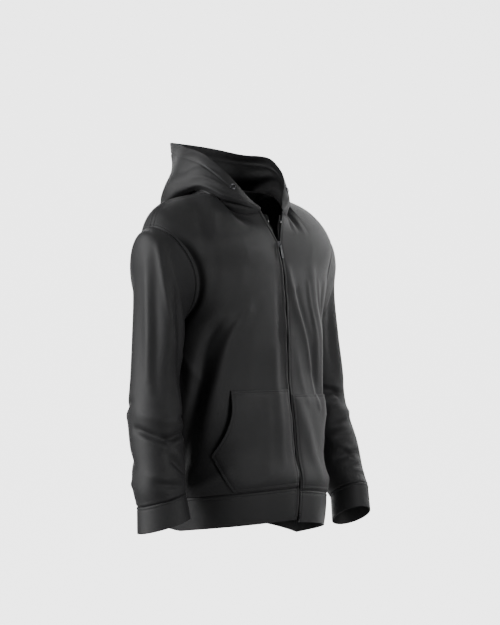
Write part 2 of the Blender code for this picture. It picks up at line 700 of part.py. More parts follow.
def edge_places(sheet):
    rows, columns = sheet["grid"].shape[:2]
    places = {(row, column) for row in (0, rows - 1) for column in range(columns)}
    if not sheet["wraps"]:
        places |= {(row, column) for row in range(rows) for column in (0, columns - 1)}
    return sorted(places)


def sheet(grid, wraps, flip):
    return {"grid": grid, "wraps": wraps, "normal": normals_of(grid, wraps, flip)}


def build_cloth(finish):
    """Front, back, sleeves, cuffs, band and hood. It returns the sheets."""
    fronts = {side: front_panel(side) for side in SIDES}
    back = back_panel()
    for side, edge in (("right", 0), ("left", -1)):
        joined = (fronts[side][:, -1] + back[:, edge]) / 2
        below = ROWS_BELOW_ARM + 1
        fronts[side][:below, -1] = joined[:below]
        back[:below, edge] = joined[:below]
    band = hem_band(fronts["right"], back, fronts["left"])
    sheets = {"back": sheet(back, False, 1), "hem_band": sheet(band, False, 1)}
    for side, edge in (("right", 0), ("left", -1)):
        sheets["front_" + side] = sheet(fronts[side], False, -SIDES[side])
        loop = armhole(fronts[side], back[:, edge])
        arm = sleeve(side, loop)
        sheets["sleeve_" + side] = sheet(arm, True, SIDES[side])
        sheets["cuff_" + side] = sheet(cuff(side, arm[-1]), True, SIDES[side])
    share_normals(sheets)
    hoods = {"hood_" + side: sheet(hood_half(side), False, -SIDES[side]) for side in SIDES}
    share_normals(hoods)
    sheets.update(hoods)
    for name, piece in sheets.items():
        wall(name, piece["grid"], piece["grid"] - piece["normal"] * WALL, piece["wraps"], finish)
    return sheets


def on_grid(grid, shares, heights, share, height):
    """Points between the points of a grid, on its facets."""
    column = np.clip(np.searchsorted(shares, share, side="right") - 1, 0, len(shares) - 2)
    row = np.clip(np.searchsorted(heights, height, side="right") - 1, 0, len(heights) - 2)
    s = ((share - shares[column]) / (shares[column + 1] - shares[column]))[..., None]
    h = ((height - heights[row]) / (heights[row + 1] - heights[row]))[..., None]
    lower = grid[row, column] * (1 - s) + grid[row, column + 1] * s
    upper = grid[row + 1, column] * (1 - s) + grid[row + 1, column + 1] * s
    return lower * (1 - h) + upper * h


def build_pocket(side, front, finish):
    """Half of the pocket, laid on the front panel, with its hand opening standing off."""
    shares, heights = grid_shares(), grid_heights()
    up = np.linspace(0, 1, POCKET_ROWS + 1)
    corner = POCKET_EDGE["height"][1]
    low = np.linspace(POCKET_EDGE["height"][0], corner, POCKET_ROWS // 3 + 1)
    high = np.linspace(corner, POCKET_TOP[side], len(up) - len(low) + 1)
    row_heights = np.concatenate([low, high[1:]])
    edge = np.interp(row_heights, POCKET_EDGE["height"], POCKET_EDGE["share"])
    out = np.linspace(0, 1, POCKET_COLUMNS + 1)
    share = POCKET_INNER_SHARE + (edge[:, None] - POCKET_INNER_SHARE) * out[None, :]
    height = np.broadcast_to(row_heights[:, None], share.shape)
    base = on_grid(front["grid"], shares, heights, share, height)
    normal = on_grid(front["normal"], shares, heights, share, height)
    normal /= np.linalg.norm(normal, axis=2, keepdims=True)
    mouth = ease((height - corner) / 0.02) * ease((POCKET_TOP[side] - height) / 0.03) * out[None, :] ** 4
    off = POCKET_STANDS_OFF + POCKET_MOUTH_OPENS * mouth
    inside = base + normal * off[:, :, None]
    wall("pocket_" + side, inside + normal * WALL, inside, False, finish)


def build_tape(side, front, band, finish):
    """The zip's tape behind the edge of the front panel and of the hem band."""
    sign = SIDES[side]
    column, beside = (0, 1) if side == "right" else (-1, -2)
    first = np.concatenate([band["grid"][:-1, column], front["grid"][:-1, 0]])
    second = np.concatenate([band["grid"][:-1, beside], front["grid"][:-1, 1]])
    normal = np.concatenate([band["normal"][:-1, column], front["normal"][:-1, 0]])
    across = second - first
    across[:, 2] = 0
    across /= np.linalg.norm(across, axis=1, keepdims=True)
    meets = SEAM_GAP / 2
    places = np.array([meets - ZIP_HALF_GAP, *TAPE_COLUMNS])
    outside = first[:, None] + across[:, None] * places[None, :, None]
    outside -= normal[:, None] * (WALL + TAPE_BEHIND)
    outside[:, 0, 0] = sign * np.maximum(sign * outside[:, 0, 0], meets)
    inside = outside - normal[:, None] * TAPE_WALL
    inside[:, 0, 0] = outside[:, 0, 0]
    wall("zip_tape_" + side, outside, inside, False, finish)


# Hard pieces ----------------------------------------------------------------------------------------------


def box(name, low, high, finish=None):
    """A plain box between two corners. Without a finish it is a cutter or a part of a union."""
    mesh = bpy.data.meshes.new(name)
    edit = bmesh.new()
    bmesh.ops.create_cube(edit, size=1)
    low, high = Vector(low), Vector(high)
    for vertex in edit.verts:
        share = vertex.co + Vector((0.5, 0.5, 0.5))
        vertex.co = low + share * (high - low)
    edit.to_mesh(mesh)
    edit.free()
    made = bpy.data.objects.new(name, mesh)
    bpy.context.scene.collection.objects.link(made)
    if finish:
        made.data.materials.append(finish)
    else:
        made.hide_render = True
        made.display_type = "WIRE"
    return made


def rod(name, centre, radius, length, axis, sides, finish=None):
    """A round bar along x, y or z. Without a finish it is a cutter."""
    mesh = bpy.data.meshes.new(name)
    edit = bmesh.new()
    bmesh.ops.create_cone(edit, cap_ends=True, segments=sides, radius1=radius, radius2=radius, depth=length)
    edit.to_mesh(mesh)
    edit.free()
    made = bpy.data.objects.new(name, mesh)
    made.location = centre
    if axis == "x":
        made.rotation_euler = (0, math.pi / 2, 0)
    if axis == "y":
        made.rotation_euler = (math.pi / 2, 0, 0)
    bpy.context.scene.collection.objects.link(made)
    if finish:
        made.data.materials.append(finish)
    else:
        made.hide_render = True
        made.display_type = "WIRE"
    return made


def boolean(target, tool, operation):
    step = target.modifiers.new(tool.name, "BOOLEAN")
    step.operation = operation
    step.object = tool
    step.solver = "EXACT"


def zip_place(front, height, reach=0.02):
    """A point on the cloth at the zip, and the slope of the cloth there."""
    edge = front["grid"][:, 0]
    y, above, below = np.interp([height, height + reach, height - reach], edge[:, 2], edge[:, 1])
    return Vector((0, y, height)), math.atan2(above - below, 2 * reach)


def rounded(piece, width):
    bevel = piece.modifiers.new("rounded", "BEVEL")
    bevel.width = width
    bevel.segments = 2


def parented(pieces, empty):
    for piece in pieces:
        piece.parent = empty


def empty_at(name, place, tilt):
    made = bpy.data.objects.new(name, None)
    made.location = place
    made.rotation_euler = (-tilt, 0, 0)
    bpy.context.scene.collection.objects.link(made)
    return made


def build_slider(front, metal):
    """The slider's plate with its bridge and neck, in the plane of the chest."""
    place, slope = zip_place(front, SLIDER_HEIGHT)
    frame = empty_at("slider_frame", place, slope)
    width, thick, tall = SLIDER_SIZE
    face = -SLIDER_OFF - thick
    plate = box("zip_slider", (-width / 2, face, -tall / 2), (width / 2, -SLIDER_OFF, tall / 2), metal)
    rounded(plate, SLIDER_BEVEL)
    axis_y = face - PULL_AXIS_OUT
    reach, bar = BRIDGE_REACH, BRIDGE_BAR
    outer = axis_y - BRIDGE_OUT
    half = BRIDGE_WIDTH / 2
    legs = []
    for name, low in (("bridge_foot", -reach), ("bridge_head", reach - bar)):
        legs.append(box(name, (-half, outer, low), (half, face + BRIDGE_ROOT, low + bar)))
    legs.append(box("bridge_bar", (-half, outer, -reach), (half, outer + bar, reach)))
    for leg in legs:
        boolean(plate, leg, "UNION")
    parented([plate] + legs, frame)
    return frame, axis_y


def build_pull(frame, axis_y, metal):
    """The pull tab. Its origin is on the axis of its cross bar, inside the bridge."""
    bpy.context.view_layer.update()
    axis = frame.matrix_world @ Vector((0, axis_y, 0))
    width, thick, long = PULL_SIZE
    hinge = empty_at("pull_hinge", axis, math.radians(PULL_TILT))
    tab = box("zip_pull", (-width / 2, -thick / 2, -long), (width / 2, thick / 2, PULL_BAR_RADIUS), metal)
    rounded(tab, PULL_BEVEL)
    half, low = PULL_EYE
    eye = box("pull_eye", (-half, -CUTTER_DEPTH / 2, -low), (half, CUTTER_DEPTH / 2, -PULL_BAR_RADIUS))
    hole = rod("pull_hole", (0, 0, PULL_HOLE_UP - long), PULL_HOLE_RADIUS, CUTTER_DEPTH, "y", 20)
    waist = []
    radius, below = PULL_WAIST
    for side, sign in SIDES.items():
        x = sign * (width / 2 + radius - PULL_WAIST_DEPTH)
        waist.append(rod("pull_waist_" + side, (x, 0, -below), radius, CUTTER_DEPTH, "y", 48))
    for tool in [eye, hole] + waist:
        boolean(tab, tool, "DIFFERENCE")
    parented([tab, eye, hole] + waist, hinge)


def build_stops(fronts, band, metal):
    """A small clip at each top end of the zip, and the box that holds its lower end."""
    inwards, ahead, up = TOP_STOP_SHIFT
    for side, sign in SIDES.items():
        centre = Vector(fronts[side]["grid"][-2, 0]) + Vector((-sign * inwards, ahead, up))
        rod("zip_top_stop_" + side, centre, TOP_STOP_RADIUS, TOP_STOP_LENGTH, "z", 10, metal)
    y = band["grid"][:2, 0, 1].min() - BOX_OFF
    z = band["grid"][0, 0, 2]
    low = (-BOX_HALF_WIDTH, y - BOX_DEPTH, z + BOX_FROM)
    box("zip_bottom_box", low, (BOX_HALF_WIDTH, y, z + BOX_TO), metal)


def build_eyelet(side, hood, metal):
    """A round metal eyelet on the channel of the hood."""
    shares, azimuths = np.linspace(0, 1, HOOD_ROWS + 1), hood_azimuths()
    share, azimuth = np.array([EYELET_SHARE]), np.array([EYELET_AZIMUTH])
    place = on_grid(hood["grid"], azimuths, shares, azimuth, share)[0]
    normal = on_grid(hood["normal"], azimuths, shares, azimuth, share)[0]
    normal = Vector(normal / np.linalg.norm(normal))
    turn = normal.to_track_quat("Z", "Y").to_matrix().to_4x4()
    mesh = bpy.data.meshes.new("eyelet_" + side)
    edit = bmesh.new()
    profile = [
        (EYELET_HOLE, 0),
        (EYELET_RADIUS, 0),
        (EYELET_RADIUS - EYELET_BEVEL, EYELET_RISE * 0.6),
        ((EYELET_RADIUS + EYELET_HOLE) / 2, EYELET_RISE),
        (EYELET_HOLE + EYELET_BEVEL, EYELET_RISE * 0.6),
    ]
    for step in range(EYELET_SIDES):
        angle = 2 * math.pi * step / EYELET_SIDES
        for radius, z in profile:
            edit.verts.new((radius * math.cos(angle), radius * math.sin(angle), z))
    edit.verts.ensure_lookup_table()
    count = len(profile)
    for step in range(EYELET_SIDES):
        here, following = step * count, (step + 1) % EYELET_SIDES * count
        for corner in range(count):
            beyond = (corner + 1) % count
            ring = (here + corner, following + corner, following + beyond, here + beyond)
            edit.faces.new([edit.verts[i] for i in ring])
    bmesh.ops.recalc_face_normals(edit, faces=edit.faces)
    edit.to_mesh(mesh)
    edit.free()
    mesh.shade_smooth()
    made = bpy.data.objects.new("eyelet_" + side, mesh)
    made.data.materials.append(metal)
    made.matrix_world = turn
    made.location = Vector(place) + normal * EYELET_OFF
    bpy.context.scene.collection.objects.link(made)


def main():
    for old in list(bpy.data.objects):
        bpy.data.objects.remove(old, do_unlink=True)
    cloth = material("charcoal_knit", (0.018, 0.018, 0.020), 0.72, 0)
    tape = material("zip_tape", (0.008, 0.008, 0.009), 0.8, 0)
    metal = material("gunmetal", (0.16, 0.16, 0.17), 0.35, 1)
    sheets = build_cloth(cloth)
    for side in SIDES:
        build_pocket(side, sheets["front_" + side], cloth)
        build_tape(side, sheets["front_" + side], sheets["hem_band"], tape)
        build_eyelet(side, sheets["hood_" + side], metal)
    frame, axis_y = build_slider(sheets["front_right"], metal)
    build_pull(frame, axis_y, metal)
    build_stops({side: sheets["front_" + side] for side in SIDES}, sheets["hem_band"], metal)


main()
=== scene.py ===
"""The visual model of a zip-front hoodie in its hollow worn form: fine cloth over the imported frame, with its
folds, seams, topstitching, zip teeth and knit, and a plain studio round it.

Metres, +Z up. The front faces -Y and the wearer's right is at -X.
"""

import math
from functools import partial

import bmesh
import bpy
import numpy as np
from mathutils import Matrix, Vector, kdtree


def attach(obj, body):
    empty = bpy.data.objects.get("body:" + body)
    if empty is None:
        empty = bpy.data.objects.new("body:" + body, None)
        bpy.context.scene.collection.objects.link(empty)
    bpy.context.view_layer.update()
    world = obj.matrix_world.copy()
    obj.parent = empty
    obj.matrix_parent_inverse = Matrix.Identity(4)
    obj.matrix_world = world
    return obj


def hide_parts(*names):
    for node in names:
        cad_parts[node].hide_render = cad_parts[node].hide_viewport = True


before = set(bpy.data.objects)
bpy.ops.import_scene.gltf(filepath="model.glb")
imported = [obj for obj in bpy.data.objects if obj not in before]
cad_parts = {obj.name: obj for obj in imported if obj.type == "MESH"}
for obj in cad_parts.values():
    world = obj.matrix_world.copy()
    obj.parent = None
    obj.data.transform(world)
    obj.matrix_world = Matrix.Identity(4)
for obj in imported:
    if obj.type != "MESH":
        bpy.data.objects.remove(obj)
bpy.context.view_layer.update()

# Cloth
WALL = 0.0022  # a smooth double knit
SEAM_GAP = 0.0003
EDGE_ROUND = 0.4  # how far a wall's edge bulges, as a share of the seam gap
MEETING = 4e-5  # points of two pieces that are this close are one place on a seam
SIDES = {"right": -1, "left": 1}
BACK_EDGE = {"right": 0, "left": -1}  # the back's column at each side seam

# Columns and rows of the cloth, and the distances from an edge that have a point of their own
NECK_COLUMNS = 30
SHOULDER_COLUMNS = 42
ROWS_BELOW_ARM = 62
ROWS_BESIDE_ARM = 48
SLEEVE_ROWS = 120
HOOD_ROWS = 78
BAND_ROWS = 12
CUFF_ROWS = 12
NEAR_EDGE = np.array([0.0012, 0.0024, 0.0038, 0.0052, 0.0066, 0.0082, 0.0105])
PAST_NEAR_EDGE = 1.15  # the even ones start past the last of those, by this many times its distance
POCKET_ROWS_BELOW = 22
POCKET_ROWS_ABOVE = 44
POCKET_COLUMNS = 48
TAPE_COLUMNS = 9
LEVEL_POINTS = 80  # of a curve, before it is divided evenly
SEAM_POINTS = 120

# Heights, as stations of the front and back panels
HEM_SEAM = -0.600
UNDERARM = -0.285
TOP = -0.040
ZIP_OPENS = -0.108
BAND_HEIGHT = 0.063
BAND_PULLS_IN = 0.0055  # at its lower edge
CUFF_HEIGHT = 0.050

# Neck opening: an oval, cut open at the front
NECK_HALF_WIDTH = 0.100
NECK_FRONT = 0.088
NECK_BACK = 0.078
NECK_OPEN_AZIMUTH = 21.7  # degrees from straight ahead to each front corner
NECK_SHARE = 0.42  # of a panel's width at the top

# Zip
ZIP_HALF_GAP = 0.0015  # from the middle to the edge of the cloth, where it is closed
TAPE_WALL = 0.0012
TAPE_WIDTH = 0.013
ARC_OF_FRONT = 0.265  # across one front panel at the chest

SQUARENESS = 0.88  # power of the sine and cosine in a level's curve: 1 is an ellipse
DROP_POWER = 1.5  # of the way from the middle to the side, in the drop of a level
SHOULDER_TURNS = 0.6  # share of the neck edge from which a panel turns over into the shoulder

# Columns of the tables. A fold runs from a to b, and its depth is out of the cloth where it is positive.
PANEL_LEVEL = "height side_x side_y side_drop centre_y centre_drop sweep rise"
SLEEVE_RING = "x y z across deep outer_up front_up turn"
PANEL_FOLD = "share_a height_a share_b height_b half_width depth"
TUBE_FOLD = "turn_a length_a turn_b length_b half_width depth"


def table(columns, *rows):
    """Named columns of a short table, one array for each."""
    return {name: np.array(values, float) for name, values in zip(columns.split(), zip(*rows), strict=True)}


# Each level runs from the middle (centre_*) to the side seam or armhole (side_*). The drops are added to its
# height, sweep is the turn of its curve in degrees, and rise lifts it half-way across.
FRONT_LEVELS = table(
    PANEL_LEVEL,
    (HEM_SEAM, 0.182, 0.000, -0.008, -0.1550, 0.012, 90, 0.000),
    (-0.575, 0.191, 0.000, -0.006, -0.1555, 0.009, 90, 0.000),
    (-0.530, 0.187, 0.000, 0.000, -0.1460, 0.003, 90, 0.000),
    (-0.460, 0.192, 0.000, 0.000, -0.1385, 0.000, 90, 0.000),
    (-0.380, 0.200, 0.000, 0.000, -0.1270, 0.000, 90, 0.000),
    (UNDERARM, 0.200, 0.000, 0.000, -0.1240, 0.000, 90, 0.000),
    (-0.225, 0.194, -0.048, 0.000, -0.1200, 0.000, 75, 0.000),
    (-0.165, 0.203, -0.061, 0.000, -0.1135, 0.002, 62, 0.000),
    (-0.100, 0.237, -0.042, -0.004, -0.0990, 0.000, 62, 0.012),
)
BACK_LEVELS = table(
    PANEL_LEVEL,
    (HEM_SEAM, 0.182, 0.000, -0.008, 0.1220, -0.002, 90, 0.000),
    (-0.575, 0.191, 0.000, -0.006, 0.1300, -0.002, 90, 0.000),
    (-0.530, 0.187, 0.000, 0.000, 0.1270, 0.000, 90, 0.000),
    (-0.460, 0.192, 0.000, 0.000, 0.1160, 0.000, 90, 0.000),
    (-0.380, 0.200, 0.000, 0.000, 0.1130, 0.000, 90, 0.000),
    (UNDERARM, 0.200, 0.000, 0.000, 0.1220, 0.000, 90, 0.000),
    (-0.225, 0.197, 0.044, 0.000, 0.1280, 0.000, 75, 0.000),
    (-0.165, 0.204, 0.057, 0.000, 0.1270, 0.000, 62, 0.000),
    (-0.100, 0.237, 0.050, -0.004, 0.1170, 0.010, 62, 0.015),
)
# How much lower or higher the hem hangs, at the middle and at the side, fading to none at the underarm
FRONT_SAG = {"right": (0.000, 0.000), "left": (-0.006, -0.025)}
BACK_SAG = {"right": (0.008, 0.000), "left": (0.008, -0.025)}

# The shoulder seam, from the neck over the shoulder to the top of the armhole
SHOULDER_SEAM = table(
    "x y z",
    (0.155, 0.008, -0.018),
    (0.208, 0.015, -0.033),
    (0.235, 0.013, -0.052),
    (0.252, 0.0075, -0.080),
)
NECK_RISE = table(
    "azimuth z",
    (21.7, -0.044),
    (38, -0.051),
    (52, -0.049),
    (66, -0.038),
    (90, -0.010),
    (130, 0.004),
    (180, 0.012),
)

# The hood's sections, by azimuth from straight ahead. Each climbs from the neck seam over its underside to
# the fold that rests on the shoulder or the back, and up the outside to the rim.
HOOD_SECTIONS = table(
    "azimuth under_r under_z fold_r fold_z side_r side_z waist_r waist_z rim_r rim_z",
    (21.7, 0.0897, -0.0430, 0.0900, -0.0420, 0.0898, -0.0405, 0.0892, -0.0390, 0.0885, -0.0375),
    (38, 0.0945, -0.0430, 0.0958, -0.0370, 0.0950, -0.0305, 0.0905, -0.0240, 0.0848, -0.0175),
    (52, 0.0990, -0.0380, 0.1022, -0.0280, 0.1012, -0.0180, 0.0965, -0.0060, 0.0897, 0.0060),
    (66, 0.1035, -0.0300, 0.1080, -0.0180, 0.1075, -0.0060, 0.1025, 0.0120, 0.0955, 0.0310),
    (80, 0.1065, -0.0150, 0.1115, -0.0020, 0.1115, 0.0100, 0.1070, 0.0300, 0.0975, 0.0510),
    (94, 0.1090, -0.0030, 0.1168, 0.0070, 0.1182, 0.0190, 0.1120, 0.0440, 0.1005, 0.0675),
    (108, 0.1160, -0.0050, 0.1275, 0.0000, 0.1290, 0.0150, 0.1185, 0.0450, 0.1025, 0.0760),
    (124, 0.1270, -0.0200, 0.1460, -0.0210, 0.1500, 0.0000, 0.1310, 0.0440, 0.1070, 0.0820),
    (150, 0.1360, -0.0580, 0.1580, -0.0860, 0.1660, -0.0480, 0.1420, 0.0440, 0.1266, 0.0930),
    (180, 0.1400, -0.0720, 0.1680, -0.1120, 0.1990, -0.0620, 0.1740, 0.0450, 0.1873, 0.1030),
)
HOOD_STATIONS = np.array([0.0, 0.22, 0.36, 0.50, 0.78, 1.0])  # neck, under, fold, side, waist, rim
HOOD_LIFT = -0.0024  # from the neck edge of the panels, into their seam

# Rings down each arm: centre, half-width across and from front to back, the lean of the ring's plane (how
# much higher its outer and its front point are than its centre), and its turn in degrees about the arm.
SLEEVE_RINGS = {
    "right": table(
        SLEEVE_RING,
        (0.2425, -0.001, -0.1930, 0.0400, 0.0610, 0.0960, 0.003, 0),
        (0.2475, -0.009, -0.2350, 0.0440, 0.0550, 0.0640, 0.003, 0),
        (0.2535, -0.012, -0.3050, 0.0450, 0.0530, 0.0260, 0.002, 4),
        (0.2580, -0.009, -0.3700, 0.0430, 0.0500, 0.0080, 0.001, 8),
        (0.2610, -0.012, -0.4400, 0.0450, 0.0550, 0.0010, 0.004, 14),
        (0.2650, -0.022, -0.5200, 0.0450, 0.0510, -0.0030, 0.009, 24),
        (0.2690, -0.031, -0.5780, 0.0450, 0.0500, -0.0050, 0.012, 32),
        (0.2690, -0.036, -0.6020, 0.0380, 0.0470, -0.0050, 0.013, 38),
    ),
    "left": table(
        SLEEVE_RING,
        (0.2410, 0.013, -0.1930, 0.0385, 0.0550, 0.0930, 0.003, 0),
        (0.2470, 0.023, -0.2350, 0.0440, 0.0500, 0.0620, 0.003, 0),
        (0.2540, 0.021, -0.3050, 0.0455, 0.0510, 0.0260, 0.002, 4),
        (0.2590, 0.008, -0.3700, 0.0440, 0.0500, 0.0080, 0.002, 8),
        (0.2620, 0.000, -0.4400, 0.0450, 0.0530, 0.0010, 0.006, 14),
        (0.2670, -0.029, -0.5200, 0.0445, 0.0510, 0.0000, 0.014, 24),
        (0.2710, -0.045, -0.5880, 0.0440, 0.0500, 0.0030, 0.019, 32),
        (0.2730, -0.061, -0.6140, 0.0385, 0.0470, 0.0060, 0.021, 38),
    ),
}
# Of a cuff's lower edge: how far it shifts outwards and along Y, and how much wider it is
CUFF_SHIFT = {"right": (0.0005, -0.007), "left": (0.0015, -0.004)}
CUFF_FLARE = {"right": 0.09, "left": 0.02}

# Folds of the fronts, across the panel as a share of its width and by height. The first rows are the large
# ones, which the solids have too.
FRONT_FOLDS = {
    "right": table(
        PANEL_FOLD,
        (0.65, -0.285, 0.92, -0.535, 0.017, -0.0105),
        (0.46, -0.245, 0.76, -0.480, 0.018, 0.0060),
        (0.84, -0.250, 0.95, -0.400, 0.015, 0.0030),
        (0.88, -0.300, 0.52, -0.170, 0.020, 0.0040),
        (0.22, -0.300, 0.42, -0.560, 0.028, -0.0030),
        # smaller creases
        (0.93, -0.255, 0.90, -0.400, 0.010, -0.0030),
        (0.96, -0.300, 0.78, -0.375, 0.008, 0.0022),
        (0.67, -0.280, 0.95, -0.520, 0.010, -0.0045),
        (0.52, -0.270, 0.76, -0.450, 0.009, 0.0030),
        (0.60, -0.262, 0.69, -0.320, 0.014, 0.0040),
        (0.84, -0.250, 0.95, -0.400, 0.015, -0.0034),
        (0.12, -0.320, 0.15, -0.540, 0.009, 0.0020),
        (0.24, -0.420, 0.30, -0.560, 0.010, 0.0016),
        (0.60, -0.555, 0.88, -0.585, 0.010, 0.0030),
        (0.30, -0.575, 0.52, -0.592, 0.009, 0.0018),
        (0.72, -0.090, 0.84, -0.200, 0.014, -0.0020),
        (0.60, -0.058, 0.85, -0.125, 0.009, -0.0034),
        (0.46, -0.052, 0.70, -0.105, 0.008, 0.0020),
        (0.88, -0.300, 0.52, -0.170, 0.020, -0.0022),
    ),
    "left": table(
        PANEL_FOLD,
        (0.06, -0.170, 0.28, -0.350, 0.013, 0.0050),
        (0.16, -0.210, 0.38, -0.400, 0.015, -0.0060),
        (0.45, -0.170, 0.47, -0.440, 0.018, 0.0060),
        (0.70, -0.200, 0.58, -0.340, 0.016, -0.0060),
        (0.66, -0.400, 0.50, -0.585, 0.032, -0.0090),
        (0.09, -0.430, 0.24, -0.560, 0.016, 0.0040),
        # smaller creases
        (0.17, -0.058, 0.18, -0.082, 0.0035, -0.0013),
        (0.215, -0.056, 0.23, -0.088, 0.0040, 0.0013),
        (0.26, -0.054, 0.285, -0.086, 0.0038, -0.0014),
        (0.31, -0.052, 0.35, -0.094, 0.0050, 0.0012),
        (0.36, -0.054, 0.42, -0.090, 0.0050, -0.0012),
        (0.12, -0.200, 0.36, -0.430, 0.006, 0.0030),
        (0.36, -0.190, 0.40, -0.400, 0.007, 0.0026),
        (0.58, -0.190, 0.55, -0.330, 0.008, 0.0030),
        (0.86, -0.260, 0.70, -0.400, 0.010, -0.0030),
        (0.92, -0.310, 0.72, -0.470, 0.010, 0.0030),
        (0.10, -0.330, 0.20, -0.420, 0.009, 0.0016),
        (0.50, -0.560, 0.80, -0.590, 0.010, 0.0030),
    ),
}
# Across the back, from -1 at the right side seam to 1 at the left one
BACK_FOLDS = table(
    PANEL_FOLD,
    (-0.80, -0.250, -0.30, -0.480, 0.026, -0.0080),
    (-0.86, -0.330, -0.55, -0.560, 0.020, 0.0060),
    (-0.15, -0.300, -0.05, -0.560, 0.030, 0.0050),
    (0.28, -0.260, 0.12, -0.540, 0.024, -0.0060),
    (0.80, -0.240, 0.38, -0.450, 0.024, 0.0070),
    (0.88, -0.340, 0.62, -0.570, 0.022, -0.0070),
    # smaller creases
    (-0.93, -0.265, -0.62, -0.350, 0.010, 0.0035),
    (-0.95, -0.300, -0.66, -0.420, 0.010, -0.0035),
    (-0.30, -0.110, 0.26, -0.124, 0.014, -0.0022),
    (-0.46, -0.150, -0.28, -0.290, 0.016, 0.0028),
    (0.50, -0.130, 0.36, -0.300, 0.016, -0.0026),
    (0.93, -0.255, 0.60, -0.330, 0.010, -0.0040),
    (0.95, -0.290, 0.62, -0.400, 0.010, 0.0035),
    (-0.40, -0.560, -0.10, -0.585, 0.011, 0.0030),
    (0.16, -0.575, 0.46, -0.556, 0.011, 0.0032),
    (0.60, -0.585, 0.86, -0.570, 0.010, -0.0026),
    (-0.86, -0.575, -0.60, -0.588, 0.010, -0.0026),
)
# Round each sleeve, as degrees from the inner side over the front, and by share of its length
SLEEVE_FOLDS = {
    "right": table(
        TUBE_FOLD,
        (95, 0.16, 75, 0.50, 0.014, -0.0060),
        (125, 0.10, 112, 0.52, 0.016, 0.0050),
        (200, 0.18, 185, 0.55, 0.020, -0.0035),
        (200, 0.700, 136, 0.756, 0.010, -0.0070),
        (136, 0.756, 68, 0.732, 0.010, -0.0060),
        (95, 0.690, 190, 0.640, 0.013, 0.0045),
        (140, 0.815, 100, 0.895, 0.010, -0.0050),
        (170, 0.920, 118, 0.960, 0.009, -0.0040),
        (258, 0.640, 330, 0.700, 0.014, 0.0060),
        (300, 0.760, 232, 0.840, 0.014, -0.0050),
        # smaller creases
        (20, 0.20, 50, 0.34, 0.009, -0.0030),
        (340, 0.17, 318, 0.36, 0.010, 0.0030),
        (150, 0.14, 146, 0.56, 0.010, -0.0030),
        (172, 0.16, 166, 0.50, 0.009, 0.0026),
        (146, 0.090, 102, 0.370, 0.005, 0.0030),
        (100, 0.360, 86, 0.640, 0.006, 0.0022),
        (204, 0.694, 140, 0.750, 0.005, -0.0036),
        (140, 0.752, 66, 0.728, 0.005, -0.0032),
        (196, 0.722, 146, 0.780, 0.006, 0.0026),
        (128, 0.778, 70, 0.760, 0.006, 0.0024),
        (40, 0.640, 96, 0.680, 0.008, -0.0030),
        (132, 0.838, 92, 0.910, 0.006, -0.0030),
        (118, 0.812, 84, 0.872, 0.007, 0.0028),
        (164, 0.930, 112, 0.962, 0.005, -0.0024),
        (186, 0.880, 150, 0.915, 0.007, 0.0022),
        (80, 0.955, 20, 0.930, 0.006, -0.0030),
        (215, 0.590, 262, 0.615, 0.007, -0.0030),
        (240, 0.900, 300, 0.935, 0.007, 0.0030),
        (318, 0.860, 268, 0.885, 0.007, -0.0030),
    ),
    "left": table(
        TUBE_FOLD,
        (100, 0.14, 85, 0.46, 0.015, -0.0055),
        (130, 0.12, 118, 0.50, 0.016, 0.0050),
        (205, 0.18, 190, 0.50, 0.020, -0.0035),
        (45, 0.535, 106, 0.572, 0.011, -0.0070),
        (70, 0.640, 138, 0.650, 0.012, 0.0040),
        (50, 0.735, 118, 0.700, 0.011, -0.0050),
        (42, 0.780, 95, 0.848, 0.009, 0.0045),
        (60, 0.872, 124, 0.850, 0.009, -0.0055),
        (255, 0.580, 330, 0.620, 0.014, 0.0060),
        (300, 0.720, 230, 0.780, 0.014, -0.0050),
        # smaller creases
        (24, 0.20, 56, 0.34, 0.009, -0.0030),
        (338, 0.17, 312, 0.36, 0.010, 0.0030),
        (152, 0.16, 148, 0.48, 0.010, -0.0026),
        (52, 0.515, 100, 0.545, 0.006, 0.0030),
        (72, 0.535, 100, 0.585, 0.005, -0.0030),
        (66, 0.600, 118, 0.608, 0.006, -0.0030),
        (84, 0.690, 126, 0.655, 0.007, 0.0028),
        (62, 0.815, 104, 0.872, 0.005, -0.0034),
        (60, 0.790, 112, 0.765, 0.007, -0.0026),
        (96, 0.905, 130, 0.880, 0.006, 0.0026),
        (140, 0.940, 84, 0.930, 0.006, 0.0030),
        (215, 0.570, 262, 0.600, 0.007, -0.0030),
        (240, 0.880, 300, 0.930, 0.007, 0.0030),
        (318, 0.850, 266, 0.870, 0.007, -0.0030),
    ),
}
# Round the hood: degrees from straight ahead over the left side, the back (180) and the right side, and the
# share of the way from the neck seam to the rim
HOOD_FOLDS = table(
    TUBE_FOLD,
    (96, 0.66, 150, 0.80, 0.016, -0.0060),
    (150, 0.80, 202, 0.70, 0.016, -0.0060),
    (118, 0.52, 172, 0.56, 0.018, 0.0050),
    (176, 0.44, 216, 0.52, 0.016, -0.0045),
    (204, 0.86, 248, 0.66, 0.018, -0.0030),
    (210, 0.96, 260, 0.92, 0.012, 0.0020),
    (104, 0.94, 148, 0.93, 0.012, 0.0025),
    # smaller creases
    (262, 0.16, 322, 0.30, 0.008, -0.0042),
    (255, 0.32, 318, 0.46, 0.010, 0.0026),
    (250, 0.70, 286, 0.90, 0.008, -0.0012),
    (262, 0.52, 300, 0.66, 0.010, 0.0014),
    (72, 0.60, 98, 0.86, 0.008, -0.0018),
    (132, 0.34, 168, 0.38, 0.009, -0.0030),
    (190, 0.60, 226, 0.52, 0.010, 0.0026),
    (156, 0.92, 196, 0.88, 0.008, 0.0022),
)
HOOD_SAG = {"right": 0.0, "left": -0.007}  # of the rim, half-way from the side to the back
HOOD_SAG_SHARES = {"under": 0, "fold": 0, "side": 0.2, "waist": 0.6, "rim": 1}
SLEEVE_GIRTH = 0.31
SLEEVE_LENGTH = 0.52
HOOD_GIRTH = 0.75
